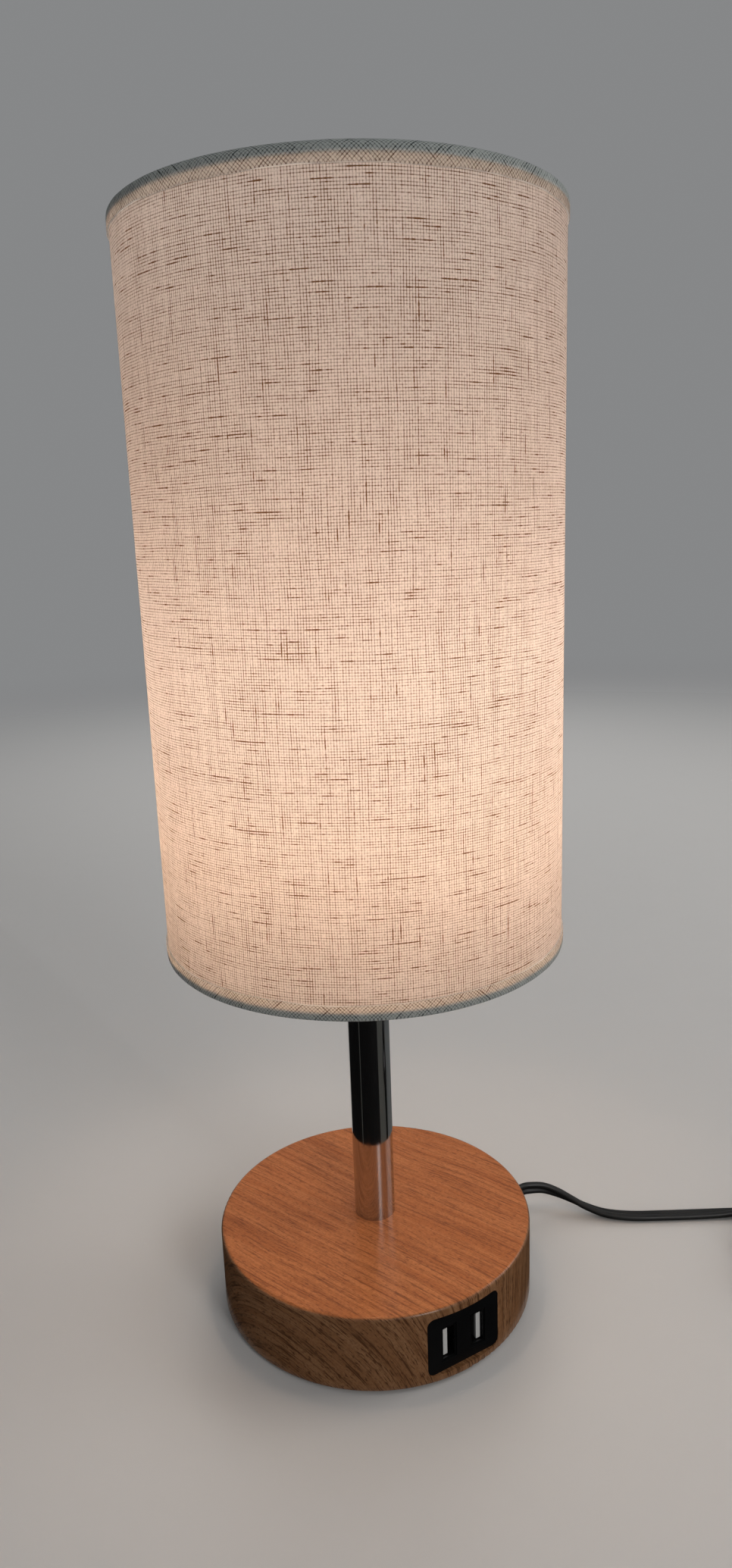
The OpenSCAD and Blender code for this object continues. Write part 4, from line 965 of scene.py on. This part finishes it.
def threadTree():
    tree = bpy.data.node_groups.new("threadCut", "GeometryNodeTree")
    tree.interface.new_socket("Geometry", in_out="INPUT", socket_type="NodeSocketGeometry")
    for label in ("pitch", "depth", "low", "high", "fade", "least"):
        tree.interface.new_socket(label, in_out="INPUT", socket_type="NodeSocketFloat")
    tree.interface.new_socket("finish", in_out="INPUT", socket_type="NodeSocketMaterial")
    tree.interface.new_socket("Geometry", in_out="OUTPUT", socket_type="NodeSocketGeometry")
    given = put(tree, "NodeGroupInput").outputs
    spot = put(tree, "GeometryNodeInputPosition").outputs[0]
    x, y, z = put(tree, "ShaderNodeSeparateXYZ", {0: spot}).outputs
    # a wave that climbs one pitch for each turn
    climb = calc(tree, "MULTIPLY", calc(tree, "DIVIDE", z, given["pitch"]), 2 * math.pi)
    wave = calc(tree, "COSINE", calc(tree, "SUBTRACT", climb, calc(tree, "ARCTAN2", y, x)))
    wave = calc(tree, "SUBTRACT", 0.5, calc(tree, "MULTIPLY", wave, 0.5))
    # it runs out at both ends, and stays off the faces inside
    fadeLow = calc(tree, "ADD", given["low"], given["fade"])
    fadeHigh = calc(tree, "SUBTRACT", given["high"], given["fade"])
    rise = ramp(tree, z, given["low"], fadeLow)
    fall = ramp(tree, z, fadeHigh, given["high"], 1.0, 0.0)
    flat = joinVector(tree, x, y)
    away = put(tree, "ShaderNodeVectorMath", {0: flat}, operation="LENGTH").outputs["Value"]
    outer = calc(tree, "GREATER_THAN", away, given["least"])
    share = calc(tree, "MULTIPLY", calc(tree, "MULTIPLY", rise, fall), outer)
    inwards = calc(tree, "MULTIPLY", given["depth"], -1.0)
    cut = calc(tree, "MULTIPLY", calc(tree, "MULTIPLY", share, wave), inwards)
    ray = put(tree, "ShaderNodeVectorMath", {0: flat}, operation="NORMALIZE").outputs["Vector"]
    shift = put(tree, "ShaderNodeVectorMath", {0: ray, "Scale": cut}, operation="SCALE").outputs["Vector"]
    moved = put(tree, "GeometryNodeSetPosition", {"Geometry": given["Geometry"], "Offset": shift})
    solid = put(tree, "GeometryNodeRealizeInstances", {0: moved.outputs[0]})
    done = put(tree, "GeometryNodeSetMaterial", {"Geometry": solid.outputs[0], "Material": given["finish"]})
    put(tree, "NodeGroupOutput", {0: done.outputs[0]})
    return tree


def turnedBody(name, t):
    # long runs of the outline are split, so that the thread has points to move
    outline, n = t["outline"], t["segments"]
    fine = []
    for (r0, z0), (r1, z1) in zip(outline, outline[1:] + outline[:1]):
        parts = max(1, int(math.hypot(r1 - r0, z1 - z0) / t["step"]))
        fine += [(r0 + (r1 - r0) * k / parts, z0 + (z1 - z0) * k / parts) for k in range(parts)]
    m = len(fine)
    points, faces = [], []
    for k in range(n):
        a = 2 * math.pi * k / n
        j = (k + 1) % n
        points += [(r * math.cos(a), r * math.sin(a), z) for r, z in fine]
        for i in range(m):
            e = (i + 1) % m
            faces.append((k * m + i, k * m + e, j * m + e, j * m + i))
    piece = newPiece(name, points, faces)
    outwards(piece)
    return piece


def cutThread(piece, tree, t, finish):
    cutter = piece.modifiers.new("thread", "NODES")
    cutter.node_group = tree
    for item in tree.interface.items_tree:
        if item.in_out == "INPUT" and item.name in t:
            cutter[item.identifier] = t[item.name]
        elif item.in_out == "INPUT" and item.name == "finish":
            cutter[item.identifier] = finish
    view = bpy.context.evaluated_depsgraph_get()
    mesh = bpy.data.meshes.new_from_object(piece.evaluated_get(view))
    piece.modifiers.clear()
    piece.data = mesh
    for edge in mesh.edges:
        edge.use_edge_sharp = False
    mesh.set_sharp_from_angle(angle=math.radians(t["sharpFrom"]))


screwThread = threadTree()
holderSkirt = turnedBody("holderSkirt", threadSet["holder"])
cutThread(holderSkirt, screwThread, threadSet["holder"], finishes["holder"])
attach(holderSkirt, "stand")
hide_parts("socket_skirt")
bulbCap = turnedBody("bulbCap", threadSet["cap"])
cutThread(bulbCap, screwThread, threadSet["cap"], finishes["bulbMetal"])
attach(bulbCap, "bulb")
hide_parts("bulb_cap")
print("lamp: threads cut,", len(holderSkirt.data.polygons) + len(bulbCap.data.polygons), "faces")

lampCord.data.materials.append(finishes["cord"])
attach(lampCord, "stand")
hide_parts("power_cord", "cord_coil")
print("lamp: cord laid")


# floor, studio light and the dark flag that the polished pole mirrors
studioSet = {
    "floor": (0.62, 0.61, 0.60),
    "floorMottle": 0.985,
    "floorClouds": 30.0,
    "floorRoughness": 0.8,
    "floorHalf": 6.0,
    "floorLevel": -0.0002,
    "fade": (0.7, 2.2),
    "world": (0.60, 0.61, 0.62),
    "worldLevel": 0.40,
    "flag": (0.0655, 0.11, 1.6),  # radii of its two rings
    "flagLevel": 0.0006,
    "flagParts": 180,
    "flagOpen": (66, 94),
    "flagRoughness": 0.9,
    "flagTones": [
        # name, colour and gloss
        ("flagBlack", (0.006, 0.006, 0.006), 0.05),
        ("flagGrey", (0.077, 0.08, 0.07), 0.5),
        ("flagPale", (0.13, 0.142, 0.142), 0.5),
    ],
    "flagSectors": [(-73, -36, "flagGrey"), (-22, 60, "flagPale"), (-175, -171, "flagGrey")],
    "lamps": [
        # name, place, aim, width, height, watts, colour
        ("keyFront", (0.05, -1.6, 0.85), (0, 0, 0.15), 0.4, 0.7, 7.3, (1.0, 0.98, 0.96)),
        ("fillRight", (1.3, -0.5, 0.9), (0, 0, 0.2), 0.9, 0.9, 6.5, (1.0, 0.98, 0.95)),
        ("backRight", (0.8, 1.2, 1.0), (0, 0, 0.2), 0.9, 0.9, 6.5, (1.0, 0.99, 0.97)),
        ("bulbFall", (0, 0, 0.136), (0, 0, 0), 0.1, 0.1, 0.026, (1.0, 0.72, 0.5)),
    ],
    "noGlint": ("backRight", "bulbFall"),  # these would lie as a veil on the lacquer
}


def paleFloor(s):
    finish, tree = startFinish("paleFloor")
    point = objectPoint(tree)
    away = put(tree, "ShaderNodeVectorMath", {0: point}, operation="LENGTH").outputs["Value"]
    cloudy = noiseOf(tree, point, s["floorClouds"], 3.0)
    dull = rgb(*[c * s["floorMottle"] for c in s["floor"]])
    tone = blendColour(tree, cloudy, dull, rgb(*s["floor"]))
    surface = put(tree, "ShaderNodeBsdfPrincipled", {"Base Color": tone, "Roughness": s["floorRoughness"]})
    clear = put(tree, "ShaderNodeBsdfTransparent")
    # open from below, to show the underside
    under = put(tree, "ShaderNodeNewGeometry").outputs["Backfacing"]
    gone = calc(tree, "MAXIMUM", ramp(tree, away, *s["fade"]), under)
    closeFinish(tree, mixShaders(tree, gone, surface, clear))
    return finish


def makeFloor(s):
    half, level = s["floorHalf"], s["floorLevel"]
    corners = [(-half, -half, level), (half, -half, level), (half, half, level), (-half, half, level)]
    floor = newPiece("paleFloor", corners, [(0, 1, 2, 3)], False)
    floor.data.materials.append(paleFloor(s))


# a dark ring on the floor, seen only in polished surfaces
def makeFlag(s):
    n = s["flagParts"]
    points = [(r * math.cos(2 * math.pi * k / n), r * math.sin(2 * math.pi * k / n), s["flagLevel"])
              for r in s["flag"] for k in range(n)]
    openFrom, openTo = s["flagOpen"]
    shown = [k for k in range(n) if not openFrom < 360 * k / n < openTo]
    faces = []
    for row in (0, n):
        for k in shown:
            j = (k + 1) % n
            faces.append((row + k, row + n + k, row + n + j, row + j))
    flag = newPiece("darkFlag", points, faces, False)
    for name, colour, gloss in s["flagTones"]:
        flag.data.materials.append(plainFinish(name, colour, s["flagRoughness"], gloss=gloss))
    toneNames = [name for name, colour, gloss in s["flagTones"]]
    for face in flag.data.polygons[len(shown):]:
        angle = math.degrees(math.atan2(face.center.y, face.center.x))
        for start, end, tone in s["flagSectors"]:
            if start < angle < end:
                face.material_index = toneNames.index(tone)
    flag.visible_camera = False
    flag.visible_diffuse = False
    flag.visible_shadow = False
    flag.visible_transmission = False


def makeLight(s):
    world = bpy.data.worlds.new("studioWorld")
    world.use_nodes = True
    sky = world.node_tree.nodes["Background"].inputs
    sky[0].default_value = rgb(*s["world"])
    sky[1].default_value = s["worldLevel"]
    scene.world = world
    for name, place, aim, wide, high, watts, colour in s["lamps"]:
        data = bpy.data.lights.new(name, "AREA")
        data.shape = "RECTANGLE"
        data.size = wide
        data.size_y = high
        data.energy = watts
        data.color = colour
        lamp = bpy.data.objects.new(name, data)
        scene.collection.objects.link(lamp)
        lamp.location = place
        lamp.visible_camera = False
        lamp.visible_glossy = name not in s["noGlint"]
        lamp.rotation_euler = (Vector(aim) - Vector(place)).to_track_quat("-Z", "Y").to_euler()


makeFloor(studioSet)
makeFlag(studioSet)
makeLight(studioSet)
print("lamp: studio ready")
